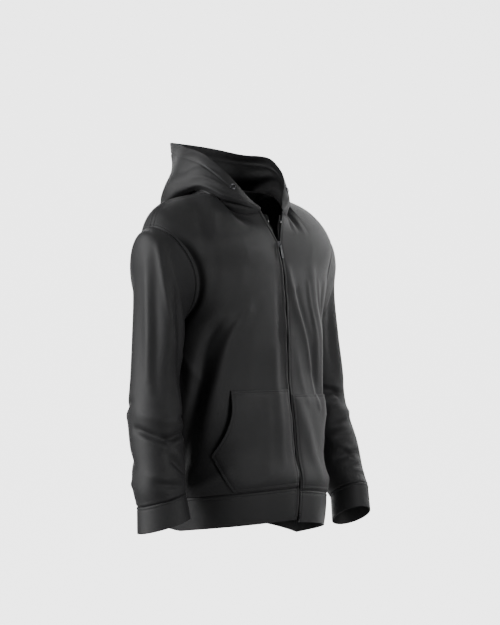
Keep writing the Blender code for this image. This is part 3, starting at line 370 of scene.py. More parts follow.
HOOD_LENGTH = 0.20
FADE = 0.022  # a fold fades out this near a seam
FADE_TOP = 1.5  # and this many times nearer the shoulder
FOLD_END = 0.55  # a fold's depth at its ends, as a share of that at its middle

# The half pocket's outer edge, as a share of the panel's width: the stitched edge up from the band to the
# corner, then the hand opening up to the top
POCKET_EDGE = table(
    "height share",
    (-0.5955, 0.565),
    (-0.5230, 0.715),
    (-0.5060, 0.668),
    (-0.4800, 0.610),
    (-0.4450, 0.562),
    (-0.3960, 0.548),
)
POCKET_INNER_SHARE = 0.014
POCKET_TOP = {"right": -0.396, "left": -0.405}
POCKET_STANDS_OFF = 0.0019
POCKET_SEWN_OFF = 0.0006  # where it is sewn down
POCKET_RISES = 0.016  # it stands off in full this far from its seams
POCKET_MOUTH_OPENS = 0.0050
POCKET_WIDTH = 0.55 * ARC_OF_FRONT  # about, to place the columns near its edges
# Over how much of the mouth's height, at the corner and at the top, its edge comes free and gapes
MOUTH_UNSEWN = (0.012, 0.02)
MOUTH_GAPES = (0.035, 0.04)
MOUTH_CURVE = 4  # power of the way out to the mouth, in how far it gapes

# Zip tape
TAPE_BEHIND = 0.0009  # from the back of the cloth to the tape
TAPE_OPENS = 0.0075  # how far the tape comes past the cloth's edge at the top of the open zip
TAPE_OPEN_HEIGHT = -0.052  # where it has come out in full
TAPE_STOPS = 6  # this many rows below the top of the front
TAPE_AIMS = 9  # columns from the edge of the cloth to the point that the tape runs towards
# Its open edge ripples: the wave's length over 2 pi, its height sideways as a share of how far the tape is
# out, its height forwards, and the phase of that one
TAPE_WAVE = 0.0048
TAPE_WAVE_SIDEWAYS = 0.16
TAPE_WAVE_LEANS = 0.0012
TAPE_WAVE_PHASE = 0.8
COIL_OUT = 0.00035  # from the face of the tape to the middle of the coil
COIL_IN = 0.0010  # and from its edge
TOOTH_PITCH = 0.0015
TOOTH_START = 0.3  # of a pitch, from the lower end
TOOTH_UNIT = 0.00062  # in metres: the outline of a tooth, from its foot to its head, is in these
TOOTH_OUTLINE = (
    (-0.5, 0.0),
    (0.5, 0.0),
    (0.5, 2.1),
    (0.85, 2.6),
    (0.6, 3.1),
    (-0.6, 3.1),
    (-0.85, 2.6),
    (-0.5, 2.1),
)
TOOTH_HALF_HEIGHT = 0.9

# Topstitching: its distances from an edge
STITCH_IN = 0.0060
NECK_STITCH_IN = 0.0068
POCKET_STITCHES_IN = (0.0018, 0.0056)
# and where a line starts or ends, as shares of the way along its edge
PAST_UNDERARM = 0.01
ARM_STITCHES_END = 0.995
FRONT_NECK_STITCHES = (0.03, 0.99)
CHANNEL_STITCHES_START = 0.16
POCKET_STITCHES = (0.02, 0.98)
# A stitch
STITCH_PITCH = 0.0032
STITCH_LENGTH = 0.0025
STITCH_WIDTH = 0.0006
STITCH_THICK = 0.0005
STITCH_PROFILE = ((-0.5, 0.25), (-0.36, 0.85), (0.0, 1.0), (0.36, 0.85), (0.5, 0.25))  # along it, and size
STITCH_SIDES = 6
STITCH_OUT = 0.00005
SHORTEST_ROW = 1.3  # a row has to be this many times the distance long to hold a point of the line
AIM = 0.3  # the direction at a point is taken this share of a pitch before it and after it

# Relief beside a seam or an edge: distance from it, half-width, and height out of the cloth
PLAIN_SEAM = ((0, 0.0017, -0.0013), (0.0048, 0.0026, 0.0004))
STITCHED_SEAM = ((0, 0.0016, -0.0012), (STITCH_IN / 2, 0.0022, 0.0006), (STITCH_IN, 0.0012, -0.0006))
NECK_SEAM = ((0.0018, 0.0012, -0.0011), (0.0042, 0.0018, 0.0008), (NECK_STITCH_IN, 0.0012, -0.0008))
TURNED_EDGE = ((STITCH_IN / 2, 0.0026, 0.0009), (STITCH_IN, 0.0012, -0.0011))
HOOD_SEAM = ((0, 0.0016, -0.0010),)
POCKET_SEAM = ((0, 0.0012, -0.0006), (0.0056, 0.0012, -0.0006))
ARMHOLE_TROUGH = ((0.0080, 0.0075, -0.0065),)  # the front sinks beside the sleeve
ZIP_DIP = ((0.018, 0.010, -0.0030),)  # the right front sinks beside the zip
TROUGH_TOP = -0.075  # height at which the trough starts
TROUGH_GROWS = 0.05
ZIP_DIP_HEIGHT = -0.27
ZIP_DIP_REACH = 0.08
ARMHOLE_GROWS = 0.01

# Ripples along a seam: length of a wave over 2 pi, height and phase
ZIP_RIPPLES = {
    "right": ((0.0093, 1, 0.0), (0.0157, 0.6, 0.0)),
    "left": ((0.0093, 1, 1.3), (0.0157, 0.6, 2.6)),
}
ZIP_RIPPLE = 0.00055
ZIP_RIPPLE_REACH = 0.012  # from the zip
ZIP_RIPPLE_FADES = 0.05  # towards the neck
BAND_RIPPLES = ((0.021, 1, 0), (0.0135, 0.7, 1.1))
BAND_RIPPLE = 0.0006

# The hood's channel
CHANNEL = 0.022  # its width, from the rim
CHANNEL_SEAM = ((CHANNEL, 0.0016, -0.0009),)
CHANNEL_PROUD = 0.0007
CHANNEL_STEP = 0.004  # over which it rises
CHANNEL_FROM = 0.045  # from the neck to the rim, where the channel starts
CHANNEL_GROWS = 0.03

# Sockets of a Mix node when it mixes colours
MIX_SHARE = 0
MIX_FIRST = 6
MIX_SECOND = 7
MIX_RESULT = 2

# Finishes
KNIT_WALE = 0.0011
KNIT_COURSE = 0.0009
CLOTH_DARK = (0.0085, 0.0085, 0.0092)
CLOTH_LIGHT = (0.017, 0.017, 0.0182)
WEAVE_ACROSS = 0.0007
WEAVE_ALONG = 0.0009
TAPE_DARK = (0.0035, 0.0035, 0.004)
TAPE_LIGHT = (0.010, 0.010, 0.011)
THREAD_DARK = (0.010, 0.010, 0.011)
THREAD_LIGHT = (0.030, 0.030, 0.033)
COIL_DARK = (0.006, 0.006, 0.0065)
COIL_LIGHT = (0.016, 0.016, 0.017)
DARK_METAL = (0.14, 0.14, 0.15)
BRIGHT_METAL = (0.30, 0.30, 0.31)
UNRUBBED = 0.55  # how light metal is where it isn't rubbed, as a share of that
STAGE_COLOUR = (0.30, 0.30, 0.30)
STAGE_UNEVEN = 1.01
STAGE_GLOW = 3.3

# Studio: the camera's own directions and the middle of the picture
VIEW_AZIMUTH = math.radians(-49)
VIEW_RIGHT = Vector((math.cos(VIEW_AZIMUTH), math.sin(VIEW_AZIMUTH), 0))
VIEW_NEAR = Vector((math.sin(VIEW_AZIMUTH), -math.cos(VIEW_AZIMUTH), 0))
VIEW_CENTRE = VIEW_RIGHT * 0.02 + Vector((0, 0, -0.245))
CAMERA_DISTANCE = 5.0
LENS = 144  # in mm, on a sensor that is 36 mm wide
SENSOR = 36
FLOOR = -1.25
SWEEP_FRONT = 2.0
SWEEP_BACK = 1.8
SWEEP_RADIUS = 1.2
SWEEP_STEPS = 12
SWEEP_HALF_WIDTH = 1.7
SWEEP_TOP = 1.4
SKY = 0.03
LIGHTS_AIM_UP = 0.05
# Soft lights: place to the right of the middle of the picture, near the camera and up, then size and watts
LIGHTS = (
    ("left_softbox", (-2.5, 0.8, 0.8), (0.7, 2.2), 120),
    ("key", (2.9, 2.4, 0.9), (1.3, 2.2), 85),
    ("right_edge", (2.0, -1.4, 0.7), (0.5, 2.0), 35),
    ("overhead", (0.2, -0.4, 2.4), (1.0, 1.0), 6),
    ("behind", (0.2, -2.3, 1.9), (1.8, 0.8), 40),
)


# Curves ---------------------------------------------------------------------------------------------------


def loft(controls, stations, at, end_slope=None):
    """Rows at the wanted stations, on smooth curves through the control rows."""
    controls = np.asarray(controls, float)
    at = np.asarray(at, float)
    slopes = np.gradient(controls, stations, axis=0)
    if end_slope is not None:
        slopes[-1] = end_slope
    left = np.clip(np.searchsorted(stations, at, side="right") - 1, 0, len(stations) - 2)
    shape = (-1,) + (1,) * (controls.ndim - 1)
    width = (stations[left + 1] - stations[left]).reshape(shape)
    t = np.clip((at - stations[left]).reshape(shape) / width, 0, 1)
    start = (2 * t**3 - 3 * t**2 + 1) * controls[left] + (t**3 - 2 * t**2 + t) * width * slopes[left]
    end = (3 * t**2 - 2 * t**3) * controls[left + 1] + (t**3 - t**2) * width * slopes[left + 1]
    return start + end


def ease(t):
    """0 to 1 with level ends."""
    t = np.clip(t, 0, 1)
    return t * t * (3 - 2 * t)


def unit(vectors):
    """Vectors of length 1 in the same directions."""
    return vectors / np.maximum(np.linalg.norm(vectors, axis=-1, keepdims=True), 1e-12)


def along_line(points):
    """How far along a polyline each of its points is."""
    return np.concatenate([[0], np.cumsum(np.linalg.norm(np.diff(points, axis=0), axis=1))])


def read_off(at, along, rows):
    """Each column of the rows at the wanted distances."""
    return np.stack([np.interp(at, along, column) for column in rows.T], axis=-1)


def at_shares(points, shares):
    """Points of a dense polyline at shares of its length."""
    along = along_line(points)
    return read_off(shares, along / along[-1], points)


def with_edges(stations, length, low=True, high=True):
    """Stations with more of them close to the ends. length is what one unit of them measures."""
    near = NEAR_EDGE / length
    first, last = stations[0], stations[-1]
    wanted = [[first, last]]
    middle = stations
    if low:
        wanted.append(first + near)
        middle = middle[middle > first + PAST_NEAR_EDGE * near[-1]]
    if high:
        wanted.append(last - near)
        middle = middle[middle < last - PAST_NEAR_EDGE * near[-1]]
    return np.unique(np.concatenate(wanted + [middle]))


def from_edge(grid, axis, last=False):
    """How far each point of a grid is from one of its edges, along the cloth."""
    steps = np.linalg.norm(np.diff(grid, axis=axis), axis=2)
    if last:
        steps = np.flip(steps, axis)
    along = np.cumsum(steps, axis=axis)
    start = np.zeros_like(np.take(along, [0], axis=axis))
    along = np.concatenate([start, along], axis=axis)
    return np.flip(along, axis) if last else along


def normals_of(grid, wraps, flip):
    """Unit normals of a grid of points, turned round where flip is -1."""
    padded = np.concatenate([grid[:, -1:], grid, grid[:, :1]], axis=1) if wraps else grid
    normal = np.cross(np.gradient(padded, axis=0), np.gradient(padded, axis=1))
    if wraps:
        normal = normal[:, 1:-1]
    return flip * unit(normal)


def fold_offset(folds, first, second, first_scale, second_scale):
    """How far the folds push the cloth out, at the given places of a piece."""
    total = np.zeros(np.broadcast(first, second).shape)
    for a1, a2, b1, b2, half_width, depth in zip(*folds.values()):
        start = np.array([a1 * first_scale, a2 * second_scale])
        run = np.array([b1 * first_scale, b2 * second_scale]) - start
        length = np.hypot(*run)
        run /= length
        dx = first * first_scale - start[0]
        dy = second * second_scale - start[1]
        along = dx * run[0] + dy * run[1]
        aside = (dx * run[1] - dy * run[0]) / half_width
        past = np.maximum(np.maximum(-along, along - length), 0) / half_width
        inside = FOLD_END + (1 - FOLD_END) * np.sin(np.pi * np.clip(along / length, 0, 1))
        total += depth * inside * np.exp(-(aside**2) - past**2)
    return total


# The body of the hoodie -----------------------------------------------------------------------------------


def level_curve(levels, index, shares):
    """One level of a panel on the +X side, from its middle to its side."""
    row = {name: column[index] for name, column in levels.items()}
    turn = np.radians(np.linspace(0, row["sweep"], LEVEL_POINTS))
    sine = np.sin(turn) ** SQUARENESS
    cosine = np.clip(np.cos(turn), 0, 1) ** SQUARENESS
    x = row["side_x"] * sine / sine[-1]
    y = row["side_y"] + (row["centre_y"] - row["side_y"]) * (cosine - cosine[-1]) / (1 - cosine[-1])
    curve = at_shares(np.stack([x, y, 0 * x], axis=1), shares)
    drop = row["centre_drop"] + (row["side_drop"] - row["centre_drop"]) * shares**DROP_POWER
    curve[:, 2] = row["height"] + drop + row["rise"] * 4 * shares * (1 - shares)
    return curve


def neck_radius(azimuth):
    """From the origin to the neck edge, by azimuth in degrees from straight ahead."""
    depth = np.where(azimuth < 90, NECK_FRONT, NECK_BACK)
    sine = np.sin(np.radians(azimuth))
    cosine = np.cos(np.radians(azimuth))
    return 1 / np.sqrt((sine / NECK_HALF_WIDTH) ** 2 + (cosine / depth) ** 2)


def turned(azimuth, radius, z):
    """Points about the neck on the +X side."""
    angle = np.radians(azimuth)
    return np.stack([radius * np.sin(angle), -radius * np.cos(angle), z + 0 * angle], axis=-1)


def neck_edge(azimuth):
    """Points of the neck's edge on the +X side."""
    return turned(azimuth, neck_radius(azimuth), loft(NECK_RISE["z"], NECK_RISE["azimuth"], azimuth))


def shoulder_seam(shares):
    """From the neck to the top of the armhole."""
    controls = np.stack([SHOULDER_SEAM[axis] for axis in "xyz"], axis=1)
    controls = np.concatenate([neck_edge(np.array([90.0])), controls])
    along = along_line(controls)
    return at_shares(loft(controls, along, np.linspace(0, along[-1], SEAM_POINTS)), shares)


def top_edge(shares, first_azimuth):
    """A panel's upper edge: round the neck, then along the shoulder."""
    on_neck = shares < NECK_SHARE + 1e-9
    azimuth = first_azimuth + (90 - first_azimuth) * shares / NECK_SHARE
    edge = neck_edge(np.where(on_neck, azimuth, 90))
    edge[~on_neck] = shoulder_seam((shares[~on_neck] - NECK_SHARE) / (1 - NECK_SHARE))
    return edge


def zip_edge_x(heights):
    """How far the edge of a front panel is from the middle: closed up to the slider, then a straight V."""
    opened = np.clip((heights - ZIP_OPENS) / (TOP - ZIP_OPENS), 0, 1)
    corner_x = neck_edge(np.array([NECK_OPEN_AZIMUTH]))[0, 0]
    return ZIP_HALF_GAP + (corner_x - ZIP_HALF_GAP) * opened


def panel_grid(levels, first_azimuth, shares, heights, sag, opened):
    """Rows of points up one half panel on the +X side. The last level is its upper edge."""
    rows = [level_curve(levels, index, shares) for index in range(len(levels["height"]))]
    other = FRONT_LEVELS if levels is BACK_LEVELS else BACK_LEVELS
    beyond = level_curve(other, len(other["height"]) - 1, shares)
    top = top_edge(shares, first_azimuth)
    stations = np.append(levels["height"], TOP)
    rise = (top - rows[-1]) / (TOP - levels["height"][-1])
    over = unit(beyond - rows[-1]) * np.linalg.norm(rise, axis=1, keepdims=True)
    turning = NECK_SHARE * SHOULDER_TURNS
    on_shoulder = ease((shares - turning) / (NECK_SHARE - turning))[:, None]
    grid = loft(rows + [top], stations, heights, rise * (1 - on_shoulder) + over * on_shoulder)
    fade = ease((UNDERARM - heights) / (UNDERARM - HEM_SEAM))[:, None]
    grid[:, :, 2] += fade * (sag[0] + (sag[1] - sag[0]) * shares**DROP_POWER)
    if opened:
        grid[:, :, 0] += (zip_edge_x(heights) - grid[:, 0, 0])[:, None] * (1 - shares) ** 2
    return grid


def grid_shares():
    """Columns of a half panel, by share of its width from the middle."""
    neck = np.linspace(0, NECK_SHARE, NECK_COLUMNS + 1)
    shoulder = np.linspace(NECK_SHARE, 1, SHOULDER_COLUMNS + 1)
    return with_edges(np.concatenate([neck, shoulder[1:]]), ARC_OF_FRONT)


def grid_heights():
    """Rows of a panel, as heights."""
    low = np.linspace(HEM_SEAM, UNDERARM, ROWS_BELOW_ARM + 1)
    high = np.linspace(UNDERARM, TOP, ROWS_BESIDE_ARM + 1)
    return with_edges(np.concatenate([low, high[1:]]), 1)


def underarm_row():
    """The row of a panel where its armhole starts."""
    return int(np.argmin(np.abs(grid_heights() - UNDERARM)))


def folded_panel(grid, flip, folds, shares, to_edge):
    """A panel with its folds, which fade out towards its edges. to_edge is a share of its width."""
    heights = grid_heights()
    depth = fold_offset(folds, shares[None, :], heights[:, None], ARC_OF_FRONT, 1)
    to_end = np.minimum(heights - HEM_SEAM, (TOP - heights) * FADE_TOP)
    depth = depth * ease(to_edge * ARC_OF_FRONT / FADE)[None, :] * ease(to_end / FADE)[:, None]
    return grid + normals_of(grid, False, flip) * depth[:, :, None]


def front_panel(side):
    """Points of a front panel, from the zip to its side seam."""
    shares = grid_shares()
    grid = panel_grid(FRONT_LEVELS, NECK_OPEN_AZIMUTH, shares, grid_heights(), FRONT_SAG[side], True)
    grid = folded_panel(grid, -1, FRONT_FOLDS[side], shares, np.minimum(shares, 1 - shares))
    grid[:, :, 0] *= SIDES[side]
    return grid


def back_panel():
    """Points of the back panel, from its right side seam to its left one."""
    shares = grid_shares()
    halves = {}
    for side in SIDES:
        halves[side] = panel_grid(BACK_LEVELS, 180, shares, grid_heights(), BACK_SAG[side], False)
        halves[side][:, :, 0] *= SIDES[side]
    grid = np.concatenate([halves["right"][:, ::-1], halves["left"][:, 1:]], axis=1)
    across = np.concatenate([-shares[::-1], shares[1:]])
    return folded_panel(grid, 1, BACK_FOLDS, across, 1 - np.abs(across))


def hem_band(front_right, back, front_left):
    """Down from the hem seams of the three panels, round from the right zip edge to the left one."""
    seam = np.concatenate([front_right[0], back[0][1:-1], front_left[0][::-1]])
    out = unit(seam * np.array([1, 1, 0]))
    rows = []
    for step in with_edges(np.linspace(0, 1, BAND_ROWS + 1), BAND_HEIGHT):
        rows.append(seam - out * BAND_PULLS_IN * step * step - np.array([0, 0, BAND_HEIGHT * step]))
    return np.array(rows[::-1])


# Sleeves --------------------------------------------------------------------------------------------------


def ring_points(rings, index, turns, sign):
    """One ring of a sleeve. Its turns run from the inner side over the front, the outer side and back."""
    row = {name: column[index] for name, column in rings.items()}
    inwards, ahead = np.cos(turns), np.sin(turns)
    cosine, sine = math.cos(math.radians(row["turn"])), math.sin(math.radians(row["turn"]))
    across, deep = -row["across"] * inwards, -row["deep"] * ahead
    x = row["x"] + across * cosine + deep * sine
    y = row["y"] + deep * cosine - across * sine
    z = row["z"] - row["outer_up"] * inwards + row["front_up"] * ahead
    return np.stack([sign * x, y, z], axis=1)


def armhole(front, back_half):
    """The loop of the armhole: from the underarm up the front edge, and down the back edge."""
    up = front[underarm_row() :, -1]
    down = back_half[underarm_row() :][::-1]
    return np.concatenate([up, down[1:-1]])


def sleeve(side, loop):
    """Rows of points down a sleeve from the loop of its armhole, with its folds."""
    rings = SLEEVE_RINGS[side]
    heights = grid_heights()[underarm_row() :]
    half_turn = math.pi * (heights - UNDERARM) / (TOP - UNDERARM)
    turns = np.concatenate([half_turn, 2 * math.pi - half_turn[::-1][1:-1]])
    controls = [loop] + [ring_points(rings, index, turns, SIDES[side]) for index in range(len(rings["z"]))]
    controls = np.array(controls)
    stations = along_line(controls.mean(axis=1))
    shares = with_edges(np.linspace(0, 1, SLEEVE_ROWS + 1), SLEEVE_LENGTH)
    grid = loft(controls, stations / stations[-1], shares)
    depth = 0
    for lap in (-360, 0, 360):
        degrees = np.degrees(turns)[None, :] + lap
        depth = depth + fold_offset(
            SLEEVE_FOLDS[side], degrees, shares[:, None], SLEEVE_GIRTH / 360, SLEEVE_LENGTH
        )
    depth = depth * ease(np.minimum(shares, 1 - shares) * SLEEVE_LENGTH / FADE)[:, None]
    return grid + normals_of(grid, True, SIDES[side]) * depth[:, :, None]


def cuff(side, seam):
    """Rows of points down a cuff from its seam."""
    out, along_y = CUFF_SHIFT[side]
    shift = np.array([SIDES[side] * out, along_y, -CUFF_HEIGHT])
    rows = []
    for step in with_edges(np.linspace(0, 1, CUFF_ROWS + 1), CUFF_HEIGHT):
        rows.append(seam + (seam - seam.mean(axis=0)) * CUFF_FLARE[side] * step + shift * step)
    return np.array(rows)


# Hood -----------------------------------------------------------------------------------------------------


def hood_azimuths():
    """Columns of half the hood: as many round the front as a front panel has, then round the back."""
    front = np.linspace(NECK_OPEN_AZIMUTH, 90, NECK_COLUMNS + 1)
    back = np.linspace(90, 180, NECK_COLUMNS + 2)[1:]
    return with_edges(np.concatenate([front, back]), HOOD_GIRTH / 360)


def hood_controls(azimuths, sag):
    """The hood's control rows on the +X side: neck, underside, fold, side, waist and rim."""
    neck = neck_edge(azimuths)
    neck[:, 2] += HOOD_LIFT
    rows = [neck]
    half_way = np.sin(np.radians(np.clip(azimuths - 90, 0, 90) * 2)) ** 2
    for place, share in HOOD_SAG_SHARES.items():
        radius = loft(HOOD_SECTIONS[place + "_r"], HOOD_SECTIONS["azimuth"], azimuths)
        z = loft(HOOD_SECTIONS[place + "_z"], HOOD_SECTIONS["azimuth"], azimuths)
        rows.append(turned(azimuths, radius, z + sag * share * half_way))
    return np.array(rows)


def hood_half(side):
    """Points of one half of the hood, from its front corner to its centre seam, with its folds."""
    azimuths = hood_azimuths()
    shares = with_edges(np.linspace(0, 1, HOOD_ROWS + 1), HOOD_LENGTH)
    grid = loft(hood_controls(azimuths, HOOD_SAG[side]), HOOD_STATIONS, shares)
    turn = azimuths if side == "left" else 360 - azimuths
    depth = fold_offset(HOOD_FOLDS, turn[None, :], shares[:, None], HOOD_GIRTH / 360, HOOD_LENGTH)
    to_front = (azimuths - NECK_OPEN_AZIMUTH) * HOOD_GIRTH / 360
    to_ends = np.minimum(shares, 1 - shares) * HOOD_LENGTH
    depth = depth * ease(to_front / FADE)[None, :] * ease(to_ends / FADE)[:, None]
    grid = grid + normals_of(grid, False, -1) * depth[:, :, None]
    grid[:, -1, 0] = 0
    grid[:, :, 0] *= SIDES[side]
    return grid


# Relief of the seams ---------------------------------------------------------------------------------------


def relief_of(distance, profile):
    """How far the cloth stands out at a distance from a seam or an edge."""
    return sum(height * np.exp(-(((distance - at) / width) ** 2)) for at, width, height in profile)


def ripple(at, waves):
    """The sum of the waves at the given places along a seam."""
    return sum(height * np.sin(at / length + phase) for length, height, phase in waves)


def front_relief(side, grid):
    """Zip edge, side seam, armhole and neck edge, and a slight ripple along the zip."""
    heights = grid_heights()
    zip_side, arm_side = from_edge(grid, 1), from_edge(grid, 1, True)
    beside_arm = ease((heights - UNDERARM) / ARMHOLE_GROWS)[:, None]
    trough = beside_arm * ease((TROUGH_TOP - heights) / TROUGH_GROWS)[:, None]
    relief = relief_of(zip_side, TURNED_EDGE)
    relief += relief_of(arm_side, PLAIN_SEAM) * (1 - beside_arm)
    relief += relief_of(arm_side, STITCHED_SEAM) * beside_arm
    relief += relief_of(arm_side, ARMHOLE_TROUGH) * trough
    relief += relief_of(from_edge(grid, 0, True), NECK_SEAM) + relief_of(from_edge(grid, 0), PLAIN_SEAM)
    if side == "right":
        at_dip = np.exp(-(((heights - ZIP_DIP_HEIGHT) / ZIP_DIP_REACH) ** 2))
        relief += relief_of(zip_side, ZIP_DIP) * at_dip[:, None]
    wave = ripple(heights, ZIP_RIPPLES[side]) * ease((TOP - heights) / ZIP_RIPPLE_FADES)
    return relief + ZIP_RIPPLE * wave[:, None] * np.exp(-zip_side / ZIP_RIPPLE_REACH)


def back_relief(grid):
    """Side seams, armholes and neck edge."""
    nearest = np.minimum(from_edge(grid, 1), from_edge(grid, 1, True))
    beside_arm = ease((grid_heights() - UNDERARM) / ARMHOLE_GROWS)[:, None]
    relief = relief_of(nearest, PLAIN_SEAM) * (1 - beside_arm)
    relief += relief_of(nearest, STITCHED_SEAM) * beside_arm
    relief += relief_of(from_edge(grid, 0, True), NECK_SEAM)
    return relief + relief_of(from_edge(grid, 0), PLAIN_SEAM)


def hood_relief(grid):
    """The seam at the neck, the centre seam, and the channel along the rim."""
    rim = from_edge(grid, 0, True)
    length = from_edge(grid, 0)[-1][None, :]
    channel = ease((length - CHANNEL_FROM) / CHANNEL_GROWS)
    proud = CHANNEL_PROUD * ease((CHANNEL - rim) / CHANNEL_STEP)
    relief = relief_of(from_edge(grid, 0), HOOD_SEAM) + relief_of(from_edge(grid, 1, True), PLAIN_SEAM)
    return relief + channel * (relief_of(rim, CHANNEL_SEAM) + proud)


def band_relief(grid):
    """The seam above the band, its turned ends, and a slight ripple round it."""
    relief = relief_of(from_edge(grid, 0, True), STITCHED_SEAM)
    relief += relief_of(from_edge(grid, 1), TURNED_EDGE) + relief_of(from_edge(grid, 1, True), TURNED_EDGE)
    wave = ripple(along_line(grid[0]), BAND_RIPPLES)
    return relief + BAND_RIPPLE * wave[None, :] * np.sin(np.pi * np.linspace(1, 0, len(grid)))[:, None]


def sleeve_relief(grid):
    return relief_of(from_edge(grid, 0), PLAIN_SEAM) + relief_of(from_edge(grid, 0, True), PLAIN_SEAM)


def cuff_relief(grid):
    return relief_of(from_edge(grid, 0), STITCHED_SEAM)


# Meshes ---------------------------------------------------------------------------------------------------


def linked(name, data):
    """A new object in the scene, at the origin."""
    made = bpy.data.objects.new(name, data)
    bpy.context.scene.collection.objects.link(made)
    return made


def small_object(name, points, faces):
    mesh = bpy.data.meshes.new(name)
    mesh.from_pydata(points, [], faces)
    mesh.shade_smooth()
    return linked(name, mesh)


def drawn_in(grid, wraps):
    """The grid with each free edge moved in by half a seam gap, along the cloth."""
    grid = grid.copy()
    for axis in (0,) if wraps else (0, 1):
        lines = np.moveaxis(grid, axis, 0)
        for edge, beside in ((0, 1), (-1, -2)):
            lines[edge] += unit(lines[beside] - lines[edge]) * SEAM_GAP / 2
    return grid


def edge_loops(index, wraps):
    """The points round a grid's edge, as one closed loop or, on a tube, as two."""
    low, high = index[0], index[-1][::-1]
    if wraps:
        return [low, high]
    return [np.concatenate([low, index[1:, -1], high[1:], index[1:-1, 0][::-1]])]


def inner_neighbours(loop, rows, columns, wraps):
    """For each point of an edge, the grid point next to it inwards."""
    row, column = np.divmod(loop, columns)
    inner_row = np.clip(row, 1, rows - 2)
    inner_column = column if wraps else np.clip(column, 1, columns - 2)
    return inner_row * columns + inner_column


def rounded_edge(middle, loop, inner, first):
    """Points half-way through a wall along its edge, a little outwards, and the faces that join them up."""
    outward = unit(middle[loop] - middle[inner])
    number = first + np.arange(len(loop))
    after, number_after = np.roll(loop, -1), np.roll(number, -1)
    half = len(middle)
    faces = [
        np.stack([loop, number, number_after, after], axis=1),
        np.stack([number, half + loop, half + after, number_after], axis=1),
    ]
    return middle[loop] + outward * SEAM_GAP * EDGE_ROUND, faces


def face_outwards(mesh):
    """Turns the faces of a closed mesh outwards."""
    edit = bmesh.new()
    edit.from_mesh(mesh)
    if edit.calc_volume(signed=True) < 0:
        bmesh.ops.reverse_faces(edit, faces=edit.faces)
    edit.to_mesh(mesh)
    edit.free()


def wall(name, piece, finish):
    """A closed wall of cloth with rounded edges, with a map of its places in metres."""
    wraps = piece["wraps"]
    outside = drawn_in(piece["outside"], wraps)
    inside = drawn_in(piece["outside"] - piece["normal"] * piece.get("thick", WALL), wraps)
    rows, columns = outside.shape[:2]
    half = rows * columns
    index = np.arange(half).reshape(rows, columns)
    whole = np.concatenate([index, index[:, :1]], axis=1) if wraps else index
    corners = [whole[:-1, :-1], whole[:-1, 1:], whole[1:, 1:], whole[1:, :-1]]
    quads = np.stack(corners, axis=-1).reshape(-1, 4)
    faces = [quads, half + quads[:, ::-1]]
    points = [outside.reshape(-1, 3), inside.reshape(-1, 3)]
    middle = (points[0] + points[1]) / 2
    places = np.stack([from_edge(piece["grid"], 1), from_edge(piece["grid"], 0)], axis=-1).reshape(-1, 2)
    cloth_map = [places, places]
    count = 2 * half
    for loop in edge_loops(index, wraps):
        edge, edge_faces = rounded_edge(middle, loop, inner_neighbours(loop, rows, columns, wraps), count)
        points.append(edge)
        faces += edge_faces
        cloth_map.append(places[loop])
        count += len(loop)
    mesh = bpy.data.meshes.new(name)
    mesh.from_pydata(np.concatenate(points).tolist(), [], np.concatenate(faces).tolist())
    corner = np.empty(len(mesh.loops), int)
    mesh.loops.foreach_get("vertex_index", corner)
    at_corners = np.concatenate(cloth_map)[corner]
    mesh.uv_layers.new(name="cloth").data.foreach_set("uv", at_corners.reshape(-1).astype(np.float32))
    face_outwards(mesh)
    mesh.shade_smooth()
    mesh.materials.append(finish)
    return linked(name, mesh)


# The pieces of cloth ---------------------------------------------------------------------------------------


def sheet(grid, wraps, flip):
    """A piece of cloth: its points, whether it is a tube, and its normals."""
    return {"grid": grid, "wraps": wraps, "normal": normals_of(grid, wraps, flip)}


def edge_places(piece):
    """The row and column of each point on an edge of a piece."""
    rows, columns = piece["grid"].shape[:2]
    places = {(row, column) for row in (0, rows - 1) for column in range(columns)}
    if not piece["wraps"]:
        places |= {(row, column) for row in range(rows) for column in (0, columns - 1)}
    return sorted(places)


def share_normals(pieces):
    """One normal where edges of several pieces meet, so that their walls meet face to face."""
    places = [(name, row, column) for name in pieces for row, column in edge_places(pieces[name])]
    tree = kdtree.KDTree(len(places))
    for number, (name, row, column) in enumerate(places):
        tree.insert(Vector(pieces[name]["grid"][row, column]), number)
    tree.balance()
    normals = [pieces[name]["normal"][row, column] for name, row, column in places]
    shared = []
    for name, row, column in places:
        near = tree.find_range(Vector(pieces[name]["grid"][row, column]), MEETING)
        shared.append(unit(sum(normals[number] for _, number, _ in near)))
    for (name, row, column), normal in zip(places, shared):
        pieces[name]["normal"][row, column] = normal


